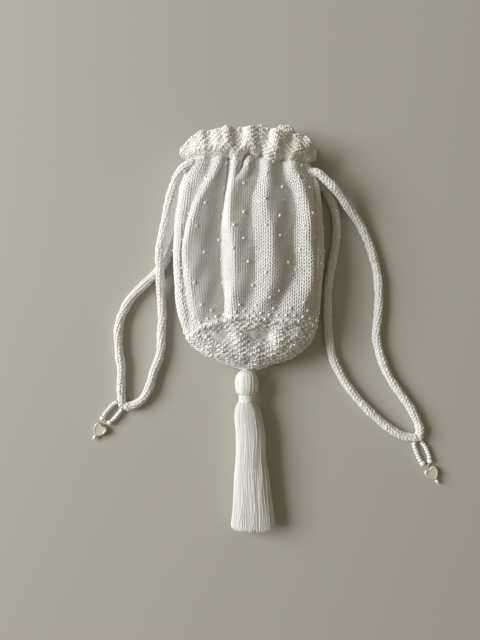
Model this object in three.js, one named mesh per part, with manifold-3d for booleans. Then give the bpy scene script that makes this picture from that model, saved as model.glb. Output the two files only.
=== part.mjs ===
// Hand-knitted drawstring purse with a tassel and two bead drops, lying on its back.
// Millimetres. +X runs across the purse, +Y from the tassel towards the mouth, and +Z up
// from the table.
// The origin is under the middle of the purse and its tassel, on the resting surface.
import * as THREE from "three";
import { mergeVertices } from "three/addons/utils/BufferGeometryUtils.js";
import Module from "manifold-3d";

const wasm = await Module();
wasm.setup();

// ---------------------------------------------------------------- driving dimensions
const GAP = 0.3; // clearance between neighbouring pieces
const WALL = 2.0; // thickness of the knitted fabric
const NECK_WALL = 1.6; // the fabric is stretched thinner over the drawstring channel
const AROUND = 40; // facets around the bag

// Knitted bag, bottom to top. Each row: y, centre x, half width, top z, bottom z, mid z.
const TIP = [-24.5, -1.0, 0, 8.2, 8.2, 8.2];
const BASE_ROWS = [
  [-23.4, -0.9, 6.6, 11.0, 5.6, 8.2],
  [-21.8, -0.6, 12.2, 13.6, 3.9, 8.4],
  [-18.6, 0.2, 19.4, 16.6, 2.3, 8.9],
  [-15.0, -0.5, 27.0, 19.6, 1.3, 9.8],
  [-11.3, 0.7, 32.7, 21.9, 0.8, 10.6],
  [-7.6, 0.8, 36.2, 23.6, 0.5, 11.3],
  [-3.0, 0.1, 38.2, 25.2, 0.3, 11.9],
  [3.3, 0.0, 40.3, 26.2, 0.1, 12.4],
];
const BODY_ROWS = [
  [3.6, 0.0, 40.3, 26.2, 0.0, 12.4],
  [7.1, 0.2, 41.2, 26.6, 0.0, 12.6],
  [14.3, -0.1, 43.0, 27.3, 0.0, 12.9],
  [21.6, 0.0, 44.0, 27.8, 0.0, 13.0],
  [36.2, 0.2, 45.3, 28.0, 0.0, 13.0],
  [54.4, -0.1, 45.5, 27.6, 0.0, 13.0],
  [68.9, 0.5, 44.0, 26.4, 0.0, 12.8],
  [76.2, 0.8, 43.0, 25.4, 0.0, 12.6],
  [83.5, 0.8, 41.8, 24.2, 0.1, 12.2],
  [88.6, 0.7, 40.6, 23.1, 0.3, 11.8],
];
const NECK_ROWS = [
  [88.9, 0.8, 40.4, 22.8, 0.3, 11.6],
  [93.4, 2.0, 40.0, 22.2, 0.3, 11.3],
  [99.2, 2.7, 39.7, 22.0, 0.3, 11.2],
  [102.5, 3.0, 39.7, 22.0, 0.3, 11.2],
];
const RUFFLE_ROWS = [
  [102.8, 3.0, 39.7, 22.0, 0.4, 11.2],
  [107.5, 2.4, 40.4, 22.4, 0.4, 11.4],
  [113.5, 1.6, 41.4, 23.4, 0.5, 11.8],
  [119.5, 1.2, 40.6, 24.2, 0.6, 12.2],
  [124.4, 1.2, 36.6, 24.6, 0.8, 12.6],
];
const FRILL_WAVES = 13; // folds round the frill
const FRILL_DEPTH = 1.5; // how far a fold of the frill stands in or out, at its edge

// Drawstrings: two knitted cords.
const CORD_D = 5.5;
const CORD_SIDES = 10;
const CHANNEL_FRONT_Z = 16.6; // height of a cord's run inside the front of the neck
const CHANNEL_BACK_Z = 5.6; // and inside its back
const LEFT_RUN_Y = 99.2;
const RIGHT_RUN_Y = 93.4;
const RUN_TURN_X = 26.6; // where a run turns back inside the far side of the neck
const LEFT_EXIT_X = -27.0;
const RIGHT_EXIT_X = 30.0;

// Routes of the free legs, from the neck to the bead drops.
const LEFT_FRONT = [
  [-27.4, 99.2, 16.6], [-29.2, 99.2, 16.6], [-31.6, 99.5, 17.3], [-34.4, 99.4, 18.3], [-38.7, 96.6, 17.2],
  [-42.6, 92.1, 14.8], [-45.6, 85.4, 12.8], [-47.9, 77.2, 11.3], [-49.6, 69.5, 10.2],
  [-51.5, 61.0, 9.5], [-53.4, 52.5, 9.2], [-54.0, 44.5, 9.1], [-53.7, 37.2, 8.8],
  [-53.9, 30.0, 6.6], [-54.0, 22.7, 4.3], [-53.4, 14.6, 3.0], [-53.1, 7.1, 2.9],
  [-53.8, -2.9, 2.9], [-54.0, -11.6, 2.9], [-55.6, -19.1, 2.9], [-58.3, -26.0, 2.9],
  [-60.2, -32.9, 2.9], [-62.4, -38.5, 2.9], [-65.5, -42.9, 2.9], [-69.6, -45.8, 2.9],
  [-75.0, -46.4, 2.9],
];
const LEFT_BACK = [
  [-27.4, 99.2, 5.6], [-29.2, 99.2, 5.6], [-32.6, 98.2, 5.1], [-36.6, 95.2, 4.0], [-39.0, 90.0, 3.1],
  [-40.4, 83.0, 2.9], [-41.8, 74.5, 2.9], [-43.0, 66.0, 2.9], [-44.4, 58.0, 2.9],
  [-47.1, 51.5, 2.9], [-50.8, 43.3, 2.9], [-55.5, 36.8, 2.9], [-61.1, 31.2, 2.9],
  [-67.4, 25.2, 2.9], [-73.0, 19.0, 2.9], [-76.9, 12.1, 2.9], [-79.4, 5.8, 2.9],
  [-80.6, -1.6, 2.9], [-80.5, -9.8, 2.9], [-79.6, -17.3, 2.9], [-78.6, -24.1, 2.9],
  [-78.8, -31.6, 2.9], [-78.9, -37.8, 2.9], [-78.3, -43.0, 2.9],
];
const RIGHT_FRONT = [
  [30.4, 93.4, 16.6], [32.2, 93.4, 16.6], [34.8, 93.9, 17.2], [38.3, 94.7, 17.9], [42.6, 94.0, 17.8],
  [47.3, 90.2, 16.6], [51.5, 86.5, 14.8], [55.5, 82.7, 12.6], [60.3, 76.9, 9.8],
  [64.8, 71.6, 7.2], [69.1, 66.4, 5.2], [72.7, 60.4, 3.8], [76.0, 53.3, 3.0],
  [78.5, 45.2, 2.9], [80.7, 37.1, 2.9], [81.8, 27.7, 2.9], [82.1, 18.3, 2.9],
  [81.6, 9.0, 2.9], [80.8, 0.9, 2.9], [80.6, -5.4, 2.9], [82.2, -12.9, 2.9],
  [84.7, -21.0, 2.9], [87.9, -28.5, 2.9], [91.9, -34.8, 2.9], [96.3, -41.0, 2.9],
  [100.7, -47.3, 2.9], [104.4, -53.5, 2.9], [107.0, -59.3, 2.9], [107.7, -64.1, 2.9],
];
const RIGHT_BACK = [
  [30.4, 93.4, 5.6], [32.2, 93.4, 5.6], [35.6, 93.3, 5.2], [40.0, 92.7, 4.9], [44.2, 91.0, 4.5],
  [48.4, 86.9, 3.5], [51.9, 80.8, 2.9], [54.4, 74.0, 2.9], [55.7, 65.8, 2.9],
  [55.5, 57.1, 2.9], [54.1, 47.7, 2.9], [52.3, 38.3, 2.9], [50.7, 29.0, 2.9],
  [50.0, 19.6, 2.9], [50.1, 9.6, 2.9], [50.4, -0.4, 2.9], [51.4, -9.1, 2.9],
  [53.4, -17.9, 2.9], [56.8, -25.4, 2.9], [61.0, -32.9, 2.9], [66.0, -39.8, 2.9],
  [71.3, -45.7, 2.9], [77.2, -51.9, 2.9], [83.5, -57.6, 2.9], [90.1, -62.6, 2.9],
  [96.4, -66.0, 2.9], [104.3, -67.4, 2.9],
];
const LEFT_JOIN = [-78.1, -46.1, 2.9]; // where the two ends of a cord are sewn together
const RIGHT_JOIN = [107.5, -67.2, 2.9];
const JOIN_R = 2.6;

// Bead drops: two strings of seed beads on one doubled thread, then a heart and a stop bead.
const THREAD_D = 0.5;
const SEED_D = 2.8;
const SEED_LEN = 1.7;
const SEED_PITCH = 2.0;
const END_BEAD_D = 3.4;
const END_BEAD_LEN = 2.6;
const BORE_D = 1.1;
const BEAD_Z = 1.75; // height of the bead centres
const HEART_W = 8.2;
const HEART_H = 8.6;
const HEART_T = 3.0;
const STOP_D = 2.2;
const LEFT_STRING_A = [[-82.4, -45.8], [-84.2, -46.9], [-85.6, -48.4], [-86.8, -50.0], [-88.2, -51.5], [-89.3, -53.1], [-90.4, -54.8], [-91.0, -56.6]];
const LEFT_STRING_B = [[-78.9, -50.3], [-79.9, -51.7], [-80.9, -53.1], [-82.1, -54.7], [-83.6, -56.1], [-85.0, -57.5], [-86.6, -58.6], [-88.4, -59.2]];
const LEFT_HEART = { notch: [-90.5, -60.1], tip: [-94.9, -66.4] };
const RIGHT_STRING_A = [[104.3, -71.8], [104.8, -73.7], [105.4, -75.5], [106.1, -77.4], [106.9, -79.3], [107.8, -81.2], [109.0, -83.1], [110.7, -85.0]];
const RIGHT_STRING_B = [[109.4, -71.0], [110.5, -72.2], [111.5, -73.7], [112.3, -75.5], [113.1, -77.3], [113.7, -79.2], [114.1, -81.2], [114.2, -83.2]];
const RIGHT_HEART = { notch: [113.6, -87.0], tip: [117.9, -93.9] };
const SEEDS_PER_STRING = [8, 7, 7, 7]; // left A, left B, right A, right B

// Tassel, laid out along -Y from the tip of the bag.
const TASSEL_Z = 8.2;
const HEAD_Y = -34.8;
const HEAD_R = 7.1; // across
const HEAD_LEN = 15.0; // along
const CORE_R = 4.3;
const HANGER_D = 1.6;
const KNOT_R = 1.0; // the knot at the tip of the bag, which the tassel turns about
const KNOT_Y = -25.8;
const NECK_WRAP = { y0: -46.4, y1: -41.8, r: 4.7, bore: 3.5 };
// y, centre x, half width, half thickness, centre z
const SKIRT_ROWS = [
  [-42.6, -1.0, 2.4, 2.4, 8.2], [-44.4, -1.0, 3.1, 3.1, 8.2], [-46.6, -0.9, 3.2, 3.2, 8.2],
  [-49.0, -0.4, 6.6, 5.6, 7.6], [-59.6, 0.3, 8.7, 6.6, 7.0], [-74.4, 1.3, 9.4, 6.6, 6.9],
  [-89.2, 1.7, 10.5, 6.6, 6.9], [-104.0, 2.3, 11.6, 6.5, 6.8], [-118.9, 2.8, 12.9, 6.3, 6.6],
  [-124.4, 2.9, 12.2, 5.9, 6.3],
];

// ---------------------------------------------------------------- colours
const COLOURS = {
  yarn: { color: 0xeceae0, roughness: 0.9, metalness: 0 },
  cord: { color: 0xe6e5de, roughness: 0.88, metalness: 0 },
  tassel: { color: 0xdedcd2, roughness: 0.9, metalness: 0 },
  thread: { color: 0xf4f3ee, roughness: 0.7, metalness: 0 },
  pearl: { color: 0xf1efe9, roughness: 0.22, metalness: 0 },
  shell: { color: 0xe2ddc8, roughness: 0.25, metalness: 0 },
  wad: { color: 0xd8d0bd, roughness: 0.8, metalness: 0 },
};

// ---------------------------------------------------------------- helpers
function toSolid(geometry) {
  const g = geometry.clone();
  for (const k of Object.keys(g.attributes)) if (k !== "position") g.deleteAttribute(k);
  const merged = mergeVertices(g, 1e-4);
  return new wasm.Manifold(
    new wasm.Mesh({
      numProp: 3,
      vertProperties: new Float32Array(merged.attributes.position.array),
      triVerts: new Uint32Array(merged.index.array),
    }),
  );
}
function fromSolid(solid) {
  const m = solid.getMesh();
  const g = new THREE.BufferGeometry();
  const v = new Float32Array(m.numVert * 3);
  for (let i = 0; i < m.numVert; i++) v.set(m.vertProperties.subarray(i * m.numProp, i * m.numProp + 3), i * 3);
  g.setAttribute("position", new THREE.BufferAttribute(v, 3));
  g.setIndex(new THREE.BufferAttribute(new Uint32Array(m.triVerts), 1));
  g.computeVertexNormals();
  return g;
}
const vec = (p) => new THREE.Vector3(p[0], p[1], p.length > 2 ? p[2] : BEAD_Z);

// An indexed geometry from points and triangles, turned so that its faces point out.
function indexed(points, tris) {
  let volume = 0;
  for (const [a, b, c] of tris) volume += points[a].dot(new THREE.Vector3().crossVectors(points[b], points[c]));
  const flat = volume < 0 ? tris.flatMap(([a, b, c]) => [a, c, b]) : tris.flat();
  const g = new THREE.BufferGeometry();
  g.setAttribute("position", new THREE.BufferAttribute(new Float32Array(points.flatMap((p) => [p.x, p.y, p.z])), 3));
  g.setIndex(flat);
  g.computeVertexNormals();
  return g;
}

// Crests of the soft pleats on the front, as a share of the half width, from the neck down.
const CRESTS = [
  [[99, -0.47], [90, -0.66], [76, -0.83], [54, -0.87], [20, -0.9]],
  [[99, -0.35], [88, -0.31], [54, -0.27], [10, -0.28]],
  [[99, 0.14], [90, 0.22], [54, 0.16], [20, 0.13]],
  [[99, 0.49], [90, 0.74], [70, 0.76], [40, 0.73], [10, 0.62]],
];
function along(table, y) {
  if (y >= table[0][0]) return table[0][1];
  for (let i = 1; i < table.length; i++)
    if (y >= table[i][0]) {
      const t = (y - table[i][0]) / (table[i - 1][0] - table[i][0]);
      return table[i][1] + t * (table[i - 1][1] - table[i][1]);
    }
  return table[table.length - 1][1];
}
function pleat(s, y) {
  const strength = THREE.MathUtils.smoothstep(y, 2, 40) * (1 - 0.4 * THREE.MathUtils.smoothstep(y, 92, 103));
  let h = 0;
  for (const c of CRESTS) {
    const d = (s - along(c, y)) / 0.16;
    h = Math.max(h, Math.exp(-d * d));
  }
  return strength * (2.2 * h - 1.5) * Math.sqrt(Math.max(0, 1 - s * s));
}

// One ring of the bag's skin. t is how far inside the outer face it lies.
function ring([y, cx, w, zt, zb, zm], t, square, waves = 0, depth = 0) {
  const out = [];
  for (let i = 0; i < AROUND; i++) {
    const a = (i / AROUND) * Math.PI * 2;
    const c = Math.cos(a), s = Math.sin(a);
    const e = square ? 0.72 : 1;
    const fx = Math.sign(c) * Math.abs(c) ** e;
    const fz = Math.abs(s) ** e;
    const wave = waves ? depth * Math.cos(waves * a) : 0;
    let x = cx + (w - t + wave * 0.4) * fx;
    let z;
    if (s >= 0) z = zm + (zt - zm - t + wave) * fz + (waves ? 0 : pleat(fx, y));
    else z = Math.max(zb + t, zm - (zm - zb - t + wave) * Math.min(1.12 * fz, waves ? 1.12 : 1));
    out.push(new THREE.Vector3(x, y, z));
  }
  return out;
}
function skin(outer, inner, tip) {
  const points = [], tris = [];
  const put = (rings) => rings.map((r) => r.map((p) => points.push(p) - 1));
  const O = put(outer), I = put(inner);
  const band = (a, b, flip) => {
    for (let i = 0; i < a.length; i++) {
      const j = (i + 1) % a.length;
      if (flip) tris.push([a[i], b[j], a[j]], [a[i], b[i], b[j]]);
      else tris.push([a[i], a[j], b[j]], [a[i], b[j], b[i]]);
    }
  };
  for (let k = 1; k < O.length; k++) band(O[k - 1], O[k], false);
  for (let k = 1; k < I.length; k++) band(I[k - 1], I[k], true);
  band(O[O.length - 1], I[I.length - 1], false);
  if (!tip) band(O[0], I[0], true);
  else {
    const o = points.push(new THREE.Vector3(tip[1], tip[0], tip[5])) - 1;
    const n = points.push(new THREE.Vector3(tip[1], tip[0] + WALL * 1.1, tip[5])) - 1;
    for (let i = 0; i < AROUND; i++) {
      const j = (i + 1) % AROUND;
      tris.push([o, O[0][j], O[0][i]], [n, I[0][i], I[0][j]]);
    }
  }
  return indexed(points, tris);
}
const shifted = (row, dy) => [row[0] + dy, ...row.slice(1)];

// A solid lofted through elliptical rings along -Y.
function loft(rows, sides) {
  const points = [], tris = [], rings = [];
  for (const [y, cx, hw, ht, cz] of rows)
    rings.push(Array.from({ length: sides }, (_, i) => {
      const a = (i / sides) * Math.PI * 2;
      return points.push(new THREE.Vector3(cx + hw * Math.cos(a), y, cz + ht * Math.sin(a))) - 1;
    }));
  for (let k = 1; k < rings.length; k++)
    for (let i = 0; i < sides; i++) {
      const j = (i + 1) % sides, a = rings[k - 1], b = rings[k];
      tris.push([a[i], a[j], b[j]], [a[i], b[j], b[i]]);
    }
  const cap = (r, y, cx, cz, flip) => {
    const c = points.push(new THREE.Vector3(cx, y, cz)) - 1;
    for (let i = 0; i < sides; i++) {
      const j = (i + 1) % sides;
      tris.push(flip ? [c, r[j], r[i]] : [c, r[i], r[j]]);
    }
  };
  const f = rows[0], l = rows[rows.length - 1];
  cap(rings[0], f[0], f[1], f[4], true);
  cap(rings[rings.length - 1], l[0], l[1], l[4], false);
  return indexed(points, tris);
}

function section(radius, sides) {
  const s = new THREE.Shape();
  for (let i = 0; i < sides; i++) {
    const a = (i / sides) * Math.PI * 2;
    if (i) s.lineTo(radius * Math.cos(a), radius * Math.sin(a));
    else s.moveTo(radius * Math.cos(a), radius * Math.sin(a));
  }
  s.closePath();
  return s;
}
function tube(route, radius, sides, steps) {
  const curve = new THREE.CatmullRomCurve3(route.map(vec), false, "centripetal");
  return new THREE.ExtrudeGeometry(section(radius, sides), { extrudePath: curve, steps, bevelEnabled: false });
}
const steps = (route, per) => Math.max(8, Math.round(new THREE.CatmullRomCurve3(route.map(vec), false, "centripetal").getLength() / per));

// A bored bead turned about its own axis; the profile is a closed loop clear of the axis.
function bead(d, len, bore) {
  const r = d / 2, b = bore / 2, h = len / 2;
  const p = [[b, -h * 0.9], [r * 0.8, -h], [r, 0], [r * 0.8, h], [b, h * 0.9], [b, -h * 0.9]];
  return new THREE.LatheGeometry(p.map(([x, y]) => new THREE.Vector2(x, y)), 8);
}

const purse = new THREE.Group();
purse.name = "drawstring_purse";
function add(name, geometry, finish, parent = purse) {
  const m = new THREE.Mesh(geometry, new THREE.MeshStandardMaterial(COLOURS[finish]));
  m.name = name;
  parent.add(m);
  return m;
}

// ---------------------------------------------------------------- knitted bag
add(
  "base_moss_stitch",
  skin(
    BASE_ROWS.map((r) => ring(r, 0, false)),
    BASE_ROWS.map((r, k) => ring(k === BASE_ROWS.length - 1 ? r : shifted(r, WALL * (1 - k / (BASE_ROWS.length - 1))), WALL, false)),
    TIP,
  ),
  "yarn",
);
add(
  "body_stockinette",
  skin(BODY_ROWS.map((r) => ring(r, 0, false)), BODY_ROWS.map((r) => ring(r, WALL, false))),
  "yarn",
);

// The runs of the drawstrings inside the neck: along the front, round the far side and back.
function run(y, exitX, turnX) {
  const r = (CHANNEL_FRONT_Z - CHANNEL_BACK_Z) / 2, zc = (CHANNEL_FRONT_Z + CHANNEL_BACK_Z) / 2;
  const dir = Math.sign(turnX - exitX), pts = [];
  const straight = Math.abs(turnX - exitX);
  for (let i = 0; i <= 5; i++) pts.push([exitX + (dir * straight * i) / 5, y, CHANNEL_FRONT_Z]);
  for (let i = 1; i < 8; i++) {
    const a = Math.PI / 2 - (i / 8) * Math.PI;
    pts.push([turnX + dir * r * Math.cos(a), y, zc + r * Math.sin(a)]);
  }
  for (let i = 5; i >= 0; i--) pts.push([exitX + (dir * straight * i) / 5, y, CHANNEL_BACK_Z]);
  return pts;
}
const LEFT_RUN = run(LEFT_RUN_Y, LEFT_EXIT_X, RUN_TURN_X);
const RIGHT_RUN = run(RIGHT_RUN_Y, RIGHT_EXIT_X, RUN_TURN_X * -0.78);

// The fabric of the neck is opened for the cords, as its eyelets are.
const eyelets = [LEFT_FRONT, LEFT_BACK, RIGHT_FRONT, RIGHT_BACK].map((route) =>
  toSolid(tube([[route[0][0] + (route[0][0] < 0 ? 6 : -6), route[0][1], route[0][2]], ...route.slice(0, 8)], CORD_D / 2 + GAP + 0.3, 10, 26)),
);
for (const r of [LEFT_RUN, RIGHT_RUN]) eyelets.push(toSolid(tube(r, CORD_D / 2 + GAP + 0.25, 10, 24)));
function halves(solid) {
  const cut = (x0, x1) => toSolid(new THREE.BoxGeometry(x1 - x0, 60, 60).translate((x0 + x1) / 2, 105, 12));
  return [solid.intersect(cut(-80, -GAP / 2)), solid.intersect(cut(GAP / 2, 80))];
}
let neck = toSolid(skin(NECK_ROWS.map((r) => ring(r, 0, true)), NECK_ROWS.map((r) => ring(r, NECK_WALL, true))));
for (const e of eyelets) neck = neck.subtract(e);
const [neckLeft, neckRight] = halves(neck);
add("neck_eyelet_band_left", fromSolid(neckLeft), "yarn");
add("neck_eyelet_band_right", fromSolid(neckRight), "yarn");

let ruffle = toSolid(
  skin(
    RUFFLE_ROWS.map((r, k) => ring(r, 0, true, FRILL_WAVES, (FRILL_DEPTH * k) / 4 + 0.01)),
    RUFFLE_ROWS.map((r, k) => ring(r, NECK_WALL, true, FRILL_WAVES, (FRILL_DEPTH * k) / 4 + 0.01)),
  ),
);
for (const e of eyelets) ruffle = ruffle.subtract(e);
const [ruffleLeft, ruffleRight] = halves(ruffle);
add("ruffle_frill_left", fromSolid(ruffleLeft), "yarn");
add("ruffle_frill_right", fromSolid(ruffleRight), "yarn");

// ---------------------------------------------------------------- drawstrings
for (const [side, runRoute, front, back, join] of [
  ["left", LEFT_RUN, LEFT_FRONT, LEFT_BACK, LEFT_JOIN],
  ["right", RIGHT_RUN, RIGHT_FRONT, RIGHT_BACK, RIGHT_JOIN],
]) {
  add(`drawstring_${side}_neck_run`, tube(runRoute, CORD_D / 2, CORD_SIDES, 26), "cord");
  add(`drawstring_${side}_front_leg`, tube(front, CORD_D / 2, CORD_SIDES, steps(front, 6.2)), "cord");
  add(`drawstring_${side}_back_leg`, tube(back, CORD_D / 2, CORD_SIDES, steps(back, 6.2)), "cord");
  const knot = add(`drawstring_${side}_join`, new THREE.SphereGeometry(JOIN_R, 12, 8), "cord");
  knot.position.set(...join);
}

// ---------------------------------------------------------------- bead drops
function heartGeometry() {
  // Outline with its notch at +v and its tip at -v, measured from the middle.
  const w = HEART_W / 2, h = HEART_H;
  const s = new THREE.Shape();
  const top = h * 0.33;
  s.moveTo(0, top);
  s.bezierCurveTo(w * 0.25, top + h * 0.2, w * 0.95, top + h * 0.16, w, top - h * 0.12);
  s.bezierCurveTo(w * 1.04, top - h * 0.42, w * 0.35, -h * 0.36, 0, -h * 0.5);
  s.bezierCurveTo(-w * 0.35, -h * 0.36, -w * 1.04, top - h * 0.42, -w, top - h * 0.12);
  s.bezierCurveTo(-w * 0.95, top + h * 0.16, -w * 0.25, top + h * 0.2, 0, top);
  const bevel = 0.7;
  return new THREE.ExtrudeGeometry(s, {
    depth: HEART_T - 2 * bevel, steps: 1, curveSegments: 6,
    bevelEnabled: true, bevelThickness: bevel, bevelSize: bevel, bevelOffset: -bevel, bevelSegments: 1,
  }).translate(0, 0, -(HEART_T - 2 * bevel) / 2);
}
function drop(side, strings, heart, counts) {
  const notch = vec(heart.notch), tip = vec(heart.tip);
  const dir = tip.clone().sub(notch).normalize();
  const middle = notch.clone().add(tip).multiplyScalar(0.5);
  const past = tip.clone().addScaledVector(dir, STOP_D * 0.5 + 0.25);
  const stop = past.clone();
  const tail = stop.clone().addScaledVector(dir, STOP_D * 0.5 + 0.7);
  let thread = null;
  const letters = ["a", "b"];
  strings.forEach((route, k) => {
    const pts = route.map(vec);
    const merge = notch.clone().addScaledVector(dir, -1.1);
    const line = new THREE.CatmullRomCurve3([...pts, merge], false, "centripetal");
    const length = line.getLength();
    let at = SEED_LEN / 2;
    const first = line.getPointAt(0);
    const count = counts[k];
    // Beads sit on the thread one after another, the larger one last.
    const stringEnd = length - END_BEAD_LEN / 2 - 1.0;
    const pitch = Math.min(SEED_PITCH, (stringEnd - END_BEAD_LEN / 2 - SEED_LEN / 2 - 0.15) / count);
    for (let i = 0; i <= count; i++) {
      const last = i === count;
      const along = i === 0 ? 0 : last ? (count - 1) * pitch + SEED_LEN / 2 + END_BEAD_LEN / 2 + 0.25 : i * pitch;
      const u = Math.min(0.995, along / length);
      const p = line.getPointAt(u), t = line.getTangentAt(u);
      const b = add(
        last ? `end_bead_${side}_${letters[k]}` : `seed_bead_${side}_${letters[k]}${i + 1}`,
        last ? bead(END_BEAD_D, END_BEAD_LEN, BORE_D) : bead(SEED_D, Math.min(SEED_LEN, pitch - 0.25), BORE_D),
        "pearl",
      );
      b.position.copy(p);
      b.quaternion.setFromUnitVectors(new THREE.Vector3(0, 1, 0), t);
    }
    const cord = toSolid(
      new THREE.ExtrudeGeometry(section(THREAD_D / 2, 5), {
        extrudePath: new THREE.CatmullRomCurve3([first, ...pts.slice(1), merge, notch.clone().addScaledVector(dir, 0.4)], false, "centripetal"),
        steps: 15, bevelEnabled: false,
      }),
    );
    thread = thread ? thread.add(cord) : cord;
  });
  const shaft = new THREE.LineCurve3(notch.clone().addScaledVector(dir, 0.1), tail);
  thread = thread.add(toSolid(new THREE.ExtrudeGeometry(section(THREAD_D / 2, 5), { extrudePath: shaft, steps: 2, bevelEnabled: false })));
  // A small knot holds the stop bead on.
  thread = thread.add(toSolid(new THREE.SphereGeometry(0.62, 8, 6).translate(tail.x, tail.y, tail.z)));
  add(`bead_thread_${side}`, fromSolid(thread), "thread");

  const turn = new THREE.Quaternion().setFromUnitVectors(new THREE.Vector3(0, -1, 0), dir);
  const bore = toSolid(
    new THREE.ExtrudeGeometry(section(BORE_D / 2 + 0.05, 10), {
      extrudePath: new THREE.LineCurve3(new THREE.Vector3(0, 12, 0), new THREE.Vector3(0, -12, 0)), steps: 1, bevelEnabled: false,
    }),
  );
  const heartMesh = add(`heart_bead_${side}`, fromSolid(toSolid(heartGeometry()).subtract(bore)), "shell");
  heartMesh.quaternion.copy(turn);
  heartMesh.position.copy(middle);
  const stopMesh = add(`stop_bead_${side}`, bead(STOP_D, 1.9, BORE_D), "pearl");
  stopMesh.position.copy(stop);
  stopMesh.quaternion.setFromUnitVectors(new THREE.Vector3(0, 1, 0), dir);
}
drop("left", [LEFT_STRING_A, LEFT_STRING_B], LEFT_HEART, SEEDS_PER_STRING.slice(0, 2));
drop("right", [RIGHT_STRING_A, RIGHT_STRING_B], RIGHT_HEART, SEEDS_PER_STRING.slice(2));

// ---------------------------------------------------------------- tassel
const tx = SKIRT_ROWS[0][1];
const headBottom = HEAD_Y - HEAD_LEN / 2, headTop = HEAD_Y + HEAD_LEN / 2;
const lathed = (profile, sides) =>
  new THREE.LatheGeometry(profile.map(([r, y]) => new THREE.Vector2(r, y)), sides).translate(tx, 0, TASSEL_Z);
const hangerTop = KNOT_Y - KNOT_R - 0.4;
const hangerKnot = add("tassel_hanger_knot", new THREE.SphereGeometry(KNOT_R, 10, 8), "thread");
hangerKnot.position.set(tx, KNOT_Y, TASSEL_Z);
add("tassel_hanging_thread", lathed([[0, hangerTop], [HANGER_D / 2, hangerTop], [HANGER_D / 2, hangerTop - 4.2], [0, hangerTop - 4.2]].reverse(), 10), "thread");
{
  // Yarn shell of the head: open at the top for the hanging thread and at the neck for the skirt.
  const outer = [], inner = [], n = 7;
  const a = HEAD_LEN / 2, top = Math.asin(0.985), low = Math.asin(-0.9);
  for (let i = 0; i <= n; i++) {
    const t = top + ((low - top) * i) / n;
    outer.push([HEAD_R * Math.cos(t) + (i === 0 ? 0.1 : 0), HEAD_Y + a * Math.sin(t)]);
    inner.push([Math.max(HANGER_D / 2 + 0.35, (HEAD_R - 2.2) * Math.cos(t)), HEAD_Y + (a - 2.0) * Math.sin(t)]);
  }
  inner[0] = [HANGER_D / 2 + 0.35, outer[0][1]];
  inner.splice(1, 0, [HANGER_D / 2 + 0.35, HEAD_Y + a - 2.2]);
  inner[inner.length - 1] = [outer[n][0] - 0.9, outer[n][1]];
  const loop = [...outer, ...inner.reverse()];
  loop.push(outer[0]);
  const g = lathed(loop, 14);
  const s = toSolid(g);
  add("tassel_head_yarn", s.volume() < 0 ? lathed([...loop].reverse(), 14) : g, "tassel");
  const core = add("tassel_head_core", new THREE.SphereGeometry(CORE_R, 12, 8), "wad");
  core.position.set(tx, HEAD_Y - 1.2, TASSEL_Z);
}
{
  const { y0, y1, r, bore } = NECK_WRAP;
  const loop = [[bore, y0], [r * 0.94, y0], [r, (y0 + y1) / 2], [r * 0.94, y1], [bore, y1], [bore, y0]];
  const g = lathed(loop, 14);
  add("tassel_neck_wrap", toSolid(g).volume() < 0 ? lathed([...loop].reverse(), 14) : g, "tassel");
}
add("tassel_skirt", loft(SKIRT_ROWS, 22), "tassel");

export default purse;
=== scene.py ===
import bpy
import math
import numpy as np
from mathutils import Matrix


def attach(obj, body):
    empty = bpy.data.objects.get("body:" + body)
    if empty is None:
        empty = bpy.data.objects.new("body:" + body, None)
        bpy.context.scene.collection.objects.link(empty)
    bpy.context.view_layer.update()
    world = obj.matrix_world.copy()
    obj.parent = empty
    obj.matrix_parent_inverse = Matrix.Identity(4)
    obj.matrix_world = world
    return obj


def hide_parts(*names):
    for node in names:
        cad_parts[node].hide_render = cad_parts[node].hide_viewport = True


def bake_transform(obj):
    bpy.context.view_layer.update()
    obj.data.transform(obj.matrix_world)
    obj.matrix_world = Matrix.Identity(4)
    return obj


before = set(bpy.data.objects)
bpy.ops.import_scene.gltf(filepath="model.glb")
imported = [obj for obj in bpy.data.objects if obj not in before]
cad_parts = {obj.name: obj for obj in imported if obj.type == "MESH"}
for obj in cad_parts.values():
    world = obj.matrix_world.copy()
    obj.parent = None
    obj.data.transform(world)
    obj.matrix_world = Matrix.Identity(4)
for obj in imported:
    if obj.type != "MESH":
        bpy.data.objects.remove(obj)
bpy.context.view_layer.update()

MM = 0.001
rng = np.random.default_rng(20)

# ------------------------------------------------------------------ camera
PX = 0.63            # millimetres a pixel covers on the table
HIGH = 350.0         # camera above the table
CAM_X, CAM_Y = -4.6, 5.85
cam_data = bpy.data.cameras.new("camera")
cam = bpy.data.objects.new("camera", cam_data)
bpy.context.scene.collection.objects.link(cam)
cam.location = (CAM_X * MM, CAM_Y * MM, HIGH * MM)
cam_data.sensor_width = 36.0
cam_data.lens = HIGH / PX / 640.0 * 36.0
cam_data.clip_start, cam_data.clip_end = 0.01, 20.0
bpy.context.scene.camera = cam


def px_x(px, z=24.0):
    return (np.asarray(px, float) - 240.0) * PX * (HIGH - z) / HIGH + CAM_X


def px_y(py, z=24.0):
    return (320.0 - np.asarray(py, float)) * PX * (HIGH - z) / HIGH + CAM_Y


# ------------------------------------------------------------------ mesh helpers
def link(o):
    bpy.context.scene.collection.objects.link(o)
    return o


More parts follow.
